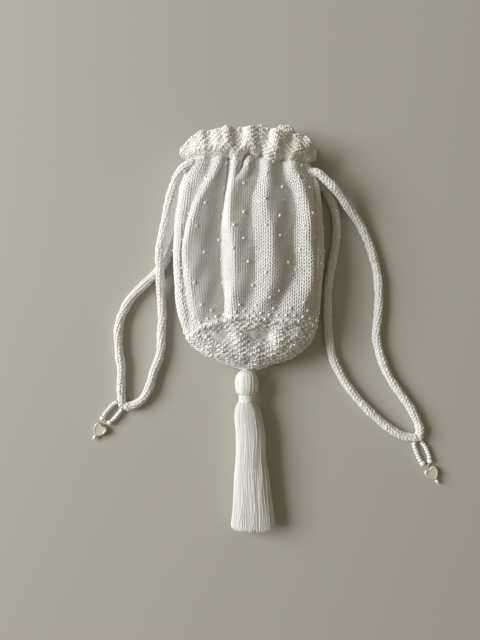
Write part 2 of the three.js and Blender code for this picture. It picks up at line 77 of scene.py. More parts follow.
def build(name, parts, mat):
    """parts: list of (V (n,3) in mm, F (m,4), bake UV (m,4,2), yarn UV (m,4,2)). A quad whose last two corners are the same is a triangle."""
    V = np.concatenate([p[0] for p in parts]) * MM
    base = np.cumsum([0] + [len(p[0]) for p in parts[:-1]])
    F = np.concatenate([np.asarray(p[1]) + b for p, b in zip(parts, base)]).astype(np.int32)
    U = np.concatenate([p[2] for p in parts])
    Y = np.concatenate([p[3] for p in parts])
    tri = F[:, 2] == F[:, 3]
    keep = np.ones(F.shape, bool)
    keep[tri, 3] = False
    loops = F[keep]
    sizes = keep.sum(1)
    me = bpy.data.meshes.new(name)
    me.vertices.add(len(V))
    me.vertices.foreach_set("co", V.astype(np.float32).ravel())
    me.loops.add(len(loops))
    me.loops.foreach_set("vertex_index", loops.astype(np.int32))
    me.polygons.add(len(sizes))
    me.polygons.foreach_set("loop_start", np.concatenate([[0], np.cumsum(sizes)[:-1]]).astype(np.int32))
    me.polygons.foreach_set("use_smooth", np.ones(len(sizes), bool))
    for label, data in (("OFBake", U), ("yarn", Y)):
        layer = me.uv_layers.new(name=label)
        layer.data.foreach_set("uv", data[keep].astype(np.float32).ravel())
    me.update(calc_edges=True)
    me.materials.append(mat)
    return link(bpy.data.objects.new(name, me))


def unit(a):
    return a / np.maximum(np.linalg.norm(a, axis=-1, keepdims=True), 1e-12)


def grid_quads(n, m, around):
    i = np.arange(n - 1)[:, None]
    k = np.arange(m if around else m - 1)[None]
    k2 = (k + 1) % m
    F = np.stack(np.broadcast_arrays(i * m + k, i * m + k2, (i + 1) * m + k2, (i + 1) * m + k), -1).reshape(-1, 4)
    return F, np.broadcast_to(i, (n - 1, k.shape[1])).ravel(), np.broadcast_to(k, (n - 1, k.shape[1])).ravel()


def grid_part(P, around, cell, scale=(1.0, 1.0)):
    """A part from a grid of points (n, m, 3); around closes it on its second axis. cell is the UV box that it fills."""
    n, m = P.shape[:2]
    F, i, k = grid_quads(n, m, around)
    cols = m if around else m - 1
    u0, v0, u1, v1 = cell
    iu = np.stack([i, i, i + 1, i + 1], 1) / (n - 1)
    kv = np.stack([k, k + 1, k + 1, k], 1) / cols
    U = np.stack([u0 + (u1 - u0) * iu, v0 + (v1 - v0) * kv], -1)
    Y = np.stack([iu * scale[0], kv * scale[1]], -1)
    return P.reshape(-1, 3), F, U, Y


def sweep(C, N, r, sides, cell, closed_ends=True):
    """A tube along the open line C (n,3), with reference normals N. r is a number or one for each point."""
    n = len(C)
    T = unit(np.gradient(C, axis=0))
    B = unit(np.cross(T, N))
    Nn = np.cross(B, T)
    a = np.arange(sides) / sides * 2 * np.pi
    r = np.array(np.broadcast_to(np.asarray(r, float), (n,)))
    if closed_ends:
        r[0] *= 0.25
        r[-1] *= 0.25
    P = C[:, None] + r[:, None, None] * (np.cos(a)[None, :, None] * Nn[:, None] + np.sin(a)[None, :, None] * B[:, None])
    F, i, k = grid_quads(n, sides, True)
    s = np.concatenate([[0], np.cumsum(np.linalg.norm(np.diff(C, axis=0), axis=1))])
    u0, v0, u1, v1 = cell
    su = s / max(s[-1], 1e-9)
    iu = np.stack([su[i], su[i], su[i + 1], su[i + 1]], 1)
    kv = np.stack([k, k + 1, k + 1, k], 1) / sides
    U = np.stack([u0 + (u1 - u0) * iu, v0 + (v1 - v0) * kv], -1)
    sy = np.stack([s[i], s[i], s[i + 1], s[i + 1]], 1)
    Y = np.stack([sy, kv], -1)
    return P.reshape(-1, 3), F, U, Y


def lathe(profile, sides, at, axis, cell):
    """profile: (radius, along) points, turned about the line through at along axis."""
    p = np.asarray(profile, float)
    axis = unit(np.asarray(axis, float))
    ref = np.array([0, 0, 1.0]) if abs(axis[2]) < 0.9 else np.array([1.0, 0, 0])
    e1 = unit(np.cross(axis, ref))
    e2 = np.cross(axis, e1)
    a = np.arange(sides) / sides * 2 * np.pi
    P = np.asarray(at, float) + p[:, 1][:, None, None] * axis + p[:, 0][:, None, None] * (np.cos(a)[None, :, None] * e1 + np.sin(a)[None, :, None] * e2)
    return grid_part(P, True, cell)


def bead_profile(d, length, bore, n=9):
    """A rounded bead: outside from one end to the other and back through the bore."""
    t = np.linspace(-np.pi / 2, np.pi / 2, n)
    power = 0.72
    cos = np.maximum(np.cos(t), 0.0)
    out = np.stack([bore / 2 + 0.12 + (d / 2 - bore / 2 - 0.12) * cos ** power, length / 2 * np.sign(np.sin(t)) * np.abs(np.sin(t)) ** power], 1)
    inner = np.array([[bore / 2, length * 0.44], [bore / 2, -length * 0.44]])
    return np.concatenate([out, inner, out[:1]])


def cells(n, gap=0.004):
    """n UV boxes side by side in a square."""
    side = int(math.ceil(math.sqrt(max(n, 1))))
    return [((k % side) / side + gap, (k // side) / side + gap, (k % side + 1) / side - gap, (k // side + 1) / side - gap) for k in range(n)]


# ------------------------------------------------------------------ materials
def new_mat(name):
    m = bpy.data.materials.new(name)
    m.use_nodes = True
    nt = m.node_tree
    nt.nodes.clear()
    out = nt.nodes.new("ShaderNodeOutputMaterial")
    b = nt.nodes.new("ShaderNodeBsdfPrincipled")
    nt.links.new(b.outputs[0], out.inputs[0])
    return m, nt, b


def yarn_material(name, light, dark, rough=0.9, sheen=0.2, ply=1.15, strength=0.3, through=0.6, stitched=False):
    m, nt, b = new_mat(name)
    L, N = nt.links.new, nt.nodes.new
    tex = N("ShaderNodeTexCoord")
    uv = N("ShaderNodeUVMap")
    uv.uv_map = "yarn"
    big = N("ShaderNodeTexNoise")
    big.inputs["Scale"].default_value = 55.0
    big.inputs["Detail"].default_value = 3.0
    fine = N("ShaderNodeTexNoise")
    fine.inputs["Scale"].default_value = 1500.0
    fine.inputs["Detail"].default_value = 4.0
    fine.inputs["Roughness"].default_value = 0.65
    L(tex.outputs["Object"], big.inputs["Vector"])
    L(tex.outputs["Object"], fine.inputs["Vector"])
    add = N("ShaderNodeMath")
    add.operation = "MULTIPLY_ADD"
    add.inputs[1].default_value = 0.45
    L(fine.outputs["Fac"], add.inputs[0])
    L(big.outputs["Fac"], add.inputs[2])
    ramp = N("ShaderNodeValToRGB")
    ramp.color_ramp.elements[0].position = 0.42
    ramp.color_ramp.elements[0].color = (*dark, 1)
    ramp.color_ramp.elements[1].position = 0.95
    ramp.color_ramp.elements[1].color = (*light, 1)
    L(add.outputs[0], ramp.inputs["Fac"])
    L(ramp.outputs["Color"], b.inputs["Base Color"])
    # The plies turn round the yarn: bands that run along it and round it at once.
    sep = N("ShaderNodeSeparateXYZ")
    L(uv.outputs["UV"], sep.inputs[0])
    mul = N("ShaderNodeMath")
    mul.operation = "MULTIPLY"
    mul.inputs[1].default_value = ply
    L(sep.outputs["X"], mul.inputs[0])
    tot = N("ShaderNodeMath")
    tot.operation = "MULTIPLY_ADD"
    tot.inputs[1].default_value = 3.0
    if stitched:
        # rows of V shapes: one course for each unit of X, one wale for each unit of Y
        part_of = N("ShaderNodeMath")
        part_of.operation = "FRACT"
        L(sep.outputs["Y"], part_of.inputs[0])
        both = N("ShaderNodeMath")
        both.operation = "MULTIPLY_ADD"
        both.inputs[1].default_value, both.inputs[2].default_value = 2.0, -1.0
        L(part_of.outputs[0], both.inputs[0])
        leg = N("ShaderNodeMath")
        leg.operation = "ABSOLUTE"
        L(both.outputs[0], leg.inputs[0])
        L(leg.outputs[0], tot.inputs[0])
        tot.inputs[1].default_value, mul.inputs[1].default_value = 0.5, 1.0
    else:
        L(sep.outputs["Y"], tot.inputs[0])
    L(mul.outputs[0], tot.inputs[2])
    tau = N("ShaderNodeMath")
    tau.operation = "MULTIPLY"
    tau.inputs[1].default_value = 2 * math.pi
    L(tot.outputs[0], tau.inputs[0])
    sn = N("ShaderNodeMath")
    sn.operation = "SINE"
    L(tau.outputs[0], sn.inputs[0])
    mix = N("ShaderNodeMath")
    mix.operation = "MULTIPLY_ADD"
    mix.inputs[1].default_value = 0.35
    L(sn.outputs[0], mix.inputs[0])
    L(fine.outputs["Fac"], mix.inputs[2])
    bump = N("ShaderNodeBump")
    bump.inputs["Strength"].default_value = strength
    bump.inputs["Distance"].default_value = 0.00018
    L(mix.outputs[0], bump.inputs["Height"])
    L(bump.outputs["Normal"], b.inputs["Normal"])
    rr = N("ShaderNodeMapRange")
    rr.inputs["To Min"].default_value = rough - 0.08
    rr.inputs["To Max"].default_value = min(1.0, rough + 0.06)
    L(fine.outputs["Fac"], rr.inputs["Value"])
    L(rr.outputs[0], b.inputs["Roughness"])
    b.inputs["Subsurface Weight"].default_value = through
    b.inputs["Subsurface Radius"].default_value = (1.0, 1.0, 0.9)
    b.inputs["Subsurface Scale"].default_value = 0.0018
    b.inputs["Sheen Weight"].default_value = sheen
    b.inputs["Sheen Roughness"].default_value = 0.4
    b.inputs["Specular IOR Level"].default_value = 0.25
    return m


def pearl_material(name, tint):
    m, nt, b = new_mat(name)
    L, N = nt.links.new, nt.nodes.new
    tex = N("ShaderNodeTexCoord")
    n = N("ShaderNodeTexNoise")
    n.inputs["Scale"].default_value = 320.0
    n.inputs["Detail"].default_value = 2.0
    L(tex.outputs["Object"], n.inputs["Vector"])
    r = N("ShaderNodeValToRGB")
    r.color_ramp.elements[0].position = 0.3
    r.color_ramp.elements[0].color = (tint[0] * 0.95, tint[1] * 0.945, tint[2] * 0.93, 1)
    r.color_ramp.elements[1].position = 0.75
    r.color_ramp.elements[1].color = (*tint, 1)
    L(n.outputs["Fac"], r.inputs["Fac"])
    L(r.outputs["Color"], b.inputs["Base Color"])
    mr = N("ShaderNodeMapRange")
    mr.inputs["To Min"].default_value = 0.14
    mr.inputs["To Max"].default_value = 0.28
    L(n.outputs["Fac"], mr.inputs["Value"])
    L(mr.outputs[0], b.inputs["Roughness"])
    bump = N("ShaderNodeBump")
    bump.inputs["Strength"].default_value = 0.08
    bump.inputs["Distance"].default_value = 0.0001
    L(n.outputs["Fac"], bump.inputs["Height"])
    L(bump.outputs["Normal"], b.inputs["Normal"])
    b.inputs["Coat Weight"].default_value = 0.8
    b.inputs["Coat Roughness"].default_value = 0.1
    b.inputs["Specular IOR Level"].default_value = 0.7
    return m


def nacre_material(name):
    m, nt, b = new_mat(name)
    L, N = nt.links.new, nt.nodes.new
    tex = N("ShaderNodeTexCoord")
    big = N("ShaderNodeTexNoise")
    big.inputs["Scale"].default_value = 210.0
    big.inputs["Detail"].default_value = 3.0
    big.inputs["Distortion"].default_value = 1.2
    L(tex.outputs["Object"], big.inputs["Vector"])
    wave = N("ShaderNodeTexWave")
    wave.inputs["Scale"].default_value = 190.0
    wave.inputs["Distortion"].default_value = 5.0
    wave.inputs["Detail"].default_value = 3.0
    L(tex.outputs["Object"], wave.inputs["Vector"])
    mix = N("ShaderNodeMath")
    mix.operation = "MULTIPLY_ADD"
    mix.inputs[1].default_value = 0.25
    L(wave.outputs["Fac"], mix.inputs[0])
    L(big.outputs["Fac"], mix.inputs[2])
    r = N("ShaderNodeValToRGB")
    e = r.color_ramp.elements
    e[0].position, e[0].color = 0.3, (0.48, 0.45, 0.34, 1)
    e[1].position, e[1].color = 0.9, (0.74, 0.72, 0.62, 1)
    for p, c in ((0.45, (0.55, 0.54, 0.43, 1)), (0.58, (0.64, 0.59, 0.48, 1)), (0.72, (0.62, 0.63, 0.54, 1))):
        e.new(p).color = c
    L(mix.outputs[0], r.inputs["Fac"])
    L(r.outputs["Color"], b.inputs["Base Color"])
    bump = N("ShaderNodeBump")
    bump.inputs["Strength"].default_value = 0.15
    bump.inputs["Distance"].default_value = 0.0002
    L(mix.outputs[0], bump.inputs["Height"])
    L(bump.outputs["Normal"], b.inputs["Normal"])
    rr = N("ShaderNodeMapRange")
    rr.inputs["To Min"].default_value = 0.16
    rr.inputs["To Max"].default_value = 0.3
    L(big.outputs["Fac"], rr.inputs["Value"])
    L(rr.outputs[0], b.inputs["Roughness"])
    b.inputs["Coat Weight"].default_value = 0.7
    b.inputs["Coat Roughness"].default_value = 0.06
    return m


YARN = yarn_material("knitted_yarn", (0.905, 0.90, 0.88), (0.82, 0.81, 0.78))
# painted shade: the inside of the knitting is the same white yarn, coloured dark grey-brown to stand in for the shade
# in the bag
INNER_SHADE_PAINT = yarn_material("painted_inner_shade", (0.42, 0.40, 0.35), (0.32, 0.30, 0.25), sheen=0.0, through=0.0)
CORDM = yarn_material("cord_yarn", (0.93, 0.925, 0.905), (0.86, 0.855, 0.83), through=0.25)
RUFFLEM = yarn_material("ruffle_yarn", (0.925, 0.915, 0.88), (0.85, 0.835, 0.79), through=0.2)
RUFFLE_GROUND = yarn_material("ruffle_ground_yarn", (0.93, 0.915, 0.865), (0.85, 0.83, 0.77), through=0.15)
TASSELM = yarn_material("tassel_yarn", (0.96, 0.955, 0.94), (0.90, 0.895, 0.87), ply=0.9, through=0.4)
GROUND = yarn_material("yarn_ground", (0.88, 0.875, 0.85), (0.78, 0.775, 0.74))
# painted shade: a darker, warmer beige than the yarn, for the sheet that shows in the shaded flanks of the folds
FOLD_SHADE_PAINT = yarn_material("fold_shade_paint_sheet", (0.79, 0.775, 0.685), (0.70, 0.685, 0.60), strength=0.4, stitched=True)
THREADM = yarn_material("sewing_thread", (0.93, 0.925, 0.9), (0.85, 0.84, 0.81), rough=0.7, ply=2.5)
WADM = yarn_material("yarn_wad", (0.72, 0.68, 0.58), (0.6, 0.56, 0.46), rough=0.85)
PEARL = pearl_material("pearl_lustre", (0.97, 0.97, 0.96))
NACRE = nacre_material("mother_of_pearl")

# ------------------------------------------------------------------ cords first
LEFT_FRONT = [(-27.4, 99.2, 16.6), (-29.2, 99.2, 16.6), (-31.6, 99.5, 17.3), (-34.4, 99.4, 18.3), (-38.7, 96.6, 17.2),
  (-42.6, 92.1, 14.8), (-45.6, 85.4, 12.8), (-47.9, 77.2, 11.3), (-49.6, 69.5, 10.2),
  (-51.5, 61.0, 9.5), (-53.4, 52.5, 9.2), (-54.0, 44.5, 9.1), (-53.7, 37.2, 8.8),
  (-53.9, 30.0, 6.6), (-54.0, 22.7, 4.3), (-53.4, 14.6, 3.0), (-53.1, 7.1, 2.9),
  (-53.8, -2.9, 2.9), (-54.0, -11.6, 2.9), (-55.6, -19.1, 2.9), (-58.3, -26.0, 2.9),
  (-60.2, -32.9, 2.9), (-62.2, -38.3, 2.9), (-65.0, -42.9, 2.9), (-68.8, -46.2, 2.9), (-72.9, -47.8, 2.9), (-77.0, -47.9, 2.9)]
LEFT_BACK = [(-27.4, 99.2, 5.6), (-29.2, 99.2, 5.6), (-32.6, 98.2, 5.1), (-36.6, 95.2, 4.0), (-39.0, 90.0, 3.1),
  (-40.4, 83.0, 2.9), (-41.8, 74.5, 2.9), (-43.0, 66.0, 2.9), (-44.4, 58.0, 2.9),
  (-47.1, 51.5, 2.9), (-50.8, 43.3, 2.9), (-55.5, 36.8, 2.9), (-61.1, 31.2, 2.9),
  (-67.4, 25.2, 2.9), (-73.0, 19.0, 2.9), (-76.9, 12.1, 2.9), (-79.4, 5.8, 2.9),
  (-80.6, -1.6, 2.9), (-80.5, -9.8, 2.9), (-79.6, -17.3, 2.9), (-78.6, -24.1, 2.9),
  (-78.8, -31.6, 2.9), (-78.9, -37.8, 2.9), (-78.6, -42.6, 2.9), (-78.2, -46.6, 2.9)]
RIGHT_FRONT = [(30.4, 93.4, 14.2), (32.2, 93.4, 14.2), (34.8, 93.9, 14.4), (38.3, 94.7, 15.0), (42.6, 94.0, 15.8),
  (47.3, 90.2, 15.6), (51.5, 86.5, 14.8), (55.5, 82.7, 12.6), (60.3, 76.9, 9.8),
  (64.8, 71.6, 7.2), (69.1, 66.4, 5.2), (72.7, 60.4, 3.8), (76.0, 53.3, 3.0),
  (78.5, 45.2, 2.9), (80.7, 37.1, 2.9), (81.8, 27.7, 2.9), (82.1, 18.3, 2.9),
  (81.6, 9.0, 2.9), (80.8, 0.9, 2.9), (80.6, -5.4, 2.9), (82.2, -12.9, 2.9),
  (84.7, -21.0, 2.9), (87.9, -28.5, 2.9), (91.9, -34.8, 2.9), (96.3, -41.0, 2.9),
  (100.7, -47.3, 2.9), (104.4, -53.5, 2.9), (107.0, -59.3, 2.9), (107.8, -63.4, 2.9), (107.6, -66.6, 2.9)]
RIGHT_BACK = [(30.4, 93.4, 5.6), (32.2, 93.4, 5.6), (35.6, 93.3, 5.2), (40.0, 92.7, 4.9), (44.2, 91.0, 4.5),
  (48.4, 86.9, 3.5), (51.9, 80.8, 2.9), (54.4, 74.0, 2.9), (55.7, 65.8, 2.9),
  (55.5, 57.1, 2.9), (54.1, 47.7, 2.9), (52.3, 38.3, 2.9), (50.7, 29.0, 2.9),
  (50.0, 19.6, 2.9), (50.1, 9.6, 2.9), (50.4, -0.4, 2.9), (51.4, -9.1, 2.9),
  (53.4, -17.9, 2.9), (56.8, -25.4, 2.9), (61.0, -32.9, 2.9), (66.0, -39.8, 2.9),
  (71.3, -45.7, 2.9), (77.2, -51.9, 2.9), (83.5, -57.6, 2.9), (90.1, -62.6, 2.9),
  (96.4, -66.0, 2.9), (101.6, -67.3, 2.9), (106.4, -67.7, 2.9)]
LEFT_JOIN = (-78.0, -46.9, 2.9)
RIGHT_JOIN = (107.5, -67.2, 2.9)
CORD_D = 5.5


def smooth_line(points, step=0.4, extra=24):
    """A centripetal Catmull-Rom line through the points, resampled every step millimetres."""
    p = np.asarray(points, float)
    q = np.concatenate([[2 * p[0] - p[1]], p, [2 * p[-1] - p[-2]]])
    out = []
    for i in range(1, len(q) - 2):
        p0, p1, p2, p3 = q[i - 1:i + 3]
        t0 = 0.0
        t1 = t0 + np.linalg.norm(p1 - p0) ** 0.5
        t2 = t1 + np.linalg.norm(p2 - p1) ** 0.5
        t3 = t2 + np.linalg.norm(p3 - p2) ** 0.5
        t = np.linspace(t1, t2, extra, endpoint=False)[:, None]
        a1 = (t1 - t) / (t1 - t0) * p0 + (t - t0) / (t1 - t0) * p1
        a2 = (t2 - t) / (t2 - t1) * p1 + (t - t1) / (t2 - t1) * p2
        a3 = (t3 - t) / (t3 - t2) * p2 + (t - t2) / (t3 - t2) * p3
        b1 = (t2 - t) / (t2 - t0) * a1 + (t - t0) / (t2 - t0) * a2
        b2 = (t3 - t) / (t3 - t1) * a2 + (t - t1) / (t3 - t1) * a3
        out.append((t2 - t) / (t2 - t1) * b1 + (t - t1) / (t2 - t1) * b2)
    out.append(p[-1:])
    c = np.concatenate(out)
    s = np.concatenate([[0], np.cumsum(np.linalg.norm(np.diff(c, axis=0), axis=1))])
    n = max(2, int(round(s[-1] / step)) + 1)
    g = np.linspace(0, s[-1], n)
    return np.stack([np.interp(g, s, c[:, k]) for k in range(3)], 1)


def length_of(C):
    return float(np.linalg.norm(np.diff(C, axis=0), axis=1).sum())


def frames(C, up=(0.0, 0.0, 1.0)):
    T = unit(np.gradient(C, axis=0))
    N = np.zeros_like(C)
    n = np.array(up, float)
    for i in range(len(C)):
        n = n - T[i] * (n @ T[i])
        n = n / np.linalg.norm(n)
        N[i] = n
    return T, N, np.cross(T, N)


def knitted_cord(name, route, wales=4, radius=CORD_D / 2, per=12, sides=5):
    """A knitted round cord: one yarn goes round the line in stitches, over a plain core."""
    C = smooth_line(route, 0.4)
    s = np.concatenate([[0], np.cumsum(np.linalg.norm(np.diff(C, axis=0), axis=1))])
    T, N, B = frames(C)
    yarn, depth = 0.76, 0.20
    rho = radius - yarn - depth + 0.12
    turns = int(round((s[-1] - 3.0) / 2.4))
    rise = (s[-1] - 3.0) / turns
    fat = 1 + 0.05 * np.sin(s * 0.37 + rng.uniform(0, 6)) + 0.04 * np.sin(s * 0.95 + rng.uniform(0, 6))
    count = turns * wales
    t = (np.arange(count * per + 1) / per - 0.5) * 2 * np.pi
    phi = (t + 1.55 * np.sin(2 * t)) / wales
    wob = rng.normal(0, 0.16, count + 2)
    j = np.clip((t / (2 * np.pi) + 0.5), 0, count)
    w = np.interp(j, np.arange(count + 2), wob)
    along = 1.5 + (t / (2 * np.pi) + 0.5) / wales * rise + 1.6 * np.cos(t) + w
    along = np.clip(along, 0.05, s[-1] - 0.05)
    lift = (rho - depth * np.cos(2 * t) + 0.6 * w) * np.interp(along, s, fat)
    phi = phi + 0.05 * along + 0.35 * np.sin(along * 0.11) + 0.3 * w
    at = np.stack([np.interp(along, s, C[:, k]) for k in range(3)], 1)
    n = unit(np.stack([np.interp(along, s, N[:, k]) for k in range(3)], 1))
    b = unit(np.stack([np.interp(along, s, B[:, k]) for k in range(3)], 1))
    out = np.cos(phi)[:, None] * n + np.sin(phi)[:, None] * b
    line = at + lift[:, None] * out
    V, F, U, Y = sweep(line, out, yarn, sides, (0, 0, 1, 1))
    # The UV square holds one strip for each turn round the cord.
    chunk = per * wales
    i = np.arange(len(F)) // sides
    row, col = i // chunk, i % chunk
    rows = turns + 2
    k = U[:, :, 1]
    U = np.stack([(col[:, None] + np.array([0, 0, 1, 1])[None]) / chunk, (row[:, None] + 0.06 + 0.88 * k) / rows], -1)
    parts = [(V, F, U, Y)]
    c = C[::3] if (len(C) - 1) % 3 == 0 else np.concatenate([C[::3], C[-1:]])
    _, nn, _ = frames(c)
    parts.append(sweep(c, nn, rho + 0.33, 12, (0.0, (rows - 0.95) / rows, 1.0, 1.0)))
    return build(name, parts, CORDM), C


cords = {}
for side, front, back in (("left", LEFT_FRONT, LEFT_BACK), ("right", RIGHT_FRONT, RIGHT_BACK)):
    for leg, route in (("front", front), ("back", back)):
        o, line = knitted_cord(f"cord_{side}_{leg}_leg", route)
        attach(o, f"drawstring_{side}")
        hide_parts(f"drawstring_{side}_{leg}_leg")
        cords[side, leg] = (o, line)


def neck_run(y, exit_x, turn_x, start_z, front_z=16.6, back_z=5.6):
    r, zc = (front_z - back_z) / 2, (front_z + back_z) / 2
    d = math.copysign(1.0, turn_x - exit_x)
    far = abs(turn_x - exit_x)
    dip = (0.0, 2.6, 3.5, 3.5, 2.7, 0.8)
    pts = [(exit_x + d * far * i / 5, y, min(front_z - dip[i], start_z if i == 0 else 99.0)) for i in range(6)]
    for i in range(1, 8):
        a = math.pi / 2 - i / 8 * math.pi
        pts.append((turn_x + d * r * math.cos(a), y, zc + r * math.sin(a)))
    pts += [(exit_x + d * far * i / 5, y, back_z) for i in range(5, -1, -1)]
    return pts


for side, route in (("left", neck_run(99.2, -31.0, 26.6, 16.8)), ("right", neck_run(93.4, 34.0, -26.6 * 0.78, 14.3))):
    o, _ = knitted_cord(f"cord_{side}_neck_run", route, per=9, sides=4)
    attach(o, f"drawstring_{side}")
    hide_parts(f"drawstring_{side}_neck_run")


def ball(c, r, cell, squash=(1, 1, 1), n=12, m=18):
    th = np.linspace(0.02, np.pi - 0.02, n)[:, None]
    ph = (np.arange(m) / m * 2 * np.pi)[None]
    P = np.asarray(c, float) + r * np.stack(np.broadcast_arrays(np.sin(th) * np.cos(ph) * squash[0], np.sin(th) * np.sin(ph) * squash[1], np.cos(th) * squash[2]), -1)
    return grid_part(P, True, cell)


# The two ends of each cord are sewn together with a few turns of yarn.
for side, at in (("left", LEFT_JOIN), ("right", RIGHT_JOIN)):
    boxes = cells(8)
    parts = []
    c = np.array(at)
    for k, (tilt, turn) in enumerate(((0.0, 0.2), (1.1, 0.5), (2.1, 0.1), (0.5, 1.2), (1.6, 1.4), (2.7, 0.9))):
        a = np.linspace(0, 2 * np.pi, 33)
        e1 = np.array([math.cos(tilt), math.sin(tilt), 0.0])
        e2 = np.array([-math.sin(tilt) * math.sin(turn), math.cos(tilt) * math.sin(turn), math.cos(turn)])
        ring = c + 2.15 * (np.cos(a)[:, None] * e1 + np.sin(a)[:, None] * e2)
        parts.append(sweep(ring, unit(ring - c), 0.5, 6, boxes[k], closed_ends=False))
    parts.append(ball(c, 2.1, boxes[6]))
    o = build(f"cord_{side}_sewn_join", parts, CORDM)
    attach(o, f"drawstring_{side}")
    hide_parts(f"drawstring_{side}_join")

# ------------------------------------------------------------------ bead drops
BEAD_Z = 1.75
LEFT_STRING_A = [[-82.4, -45.8], [-84.2, -46.9], [-85.6, -48.4], [-86.8, -50.0], [-88.2, -51.5], [-89.3, -53.1], [-90.4, -54.8], [-91.0, -56.6]]
LEFT_STRING_B = [[-78.9, -50.3], [-79.9, -51.7], [-80.9, -53.1], [-82.1, -54.7], [-83.6, -56.1], [-85.0, -57.5], [-86.6, -58.6], [-88.4, -59.2]]
RIGHT_STRING_A = [[104.3, -71.8], [104.8, -73.7], [105.4, -75.5], [106.1, -77.4], [106.9, -79.3], [107.8, -81.2], [109.0, -83.1], [110.7, -85.0]]
RIGHT_STRING_B = [[109.4, -71.0], [110.5, -72.2], [111.5, -73.7], [112.3, -75.5], [113.1, -77.3], [113.7, -79.2], [114.1, -81.2], [114.2, -83.2]]
HEARTS = {"left": ([-90.5, -60.1], [-94.9, -66.4]), "right": ([113.6, -87.0], [117.9, -93.9])}
SEED_D, SEED_LEN, SEED_PITCH, END_D, END_LEN, STOP_D, BORE = 2.8, 1.7, 2.0, 3.4, 2.6, 2.2, 1.1


def flat(p, z=BEAD_Z):
    return np.array([p[0], p[1], z], float)


def at_length(C, s):
    g = np.concatenate([[0], np.cumsum(np.linalg.norm(np.diff(C, axis=0), axis=1))])
    s = min(max(s, 0.0), g[-1] * 0.995)
    p = np.array([np.interp(s, g, C[:, k]) for k in range(3)])
    q = np.array([np.interp(min(s + 0.2, g[-1]), g, C[:, k]) for k in range(3)])
    r = np.array([np.interp(max(s - 0.2, 0.0), g, C[:, k]) for k in range(3)])
    return p, unit(q - r)


def heart_outline(n=72):
    w, h = 4.3, 8.6
    top = h * 0.35
    seg = [[(0, top), (w * 0.25, top + h * 0.2), (w * 0.95, top + h * 0.16), (w, top - h * 0.12)],
      [(w, top - h * 0.12), (w * 1.05, top - h * 0.46), (w * 0.45, -h * 0.37), (0, -h * 0.5)],
      [(0, -h * 0.5), (-w * 0.45, -h * 0.37), (-w * 1.05, top - h * 0.46), (-w, top - h * 0.12)],
      [(-w, top - h * 0.12), (-w * 0.95, top + h * 0.16), (-w * 0.25, top + h * 0.2), (0, top)]]
    pts = []
    for b in seg:
        t = np.linspace(0, 1, n // 4, endpoint=False)[:, None]
        b = np.array(b, float)
        pts.append((1 - t) ** 3 * b[0] + 3 * (1 - t) ** 2 * t * b[1] + 3 * (1 - t) * t * t * b[2] + t ** 3 * b[3])
    return np.concatenate(pts)


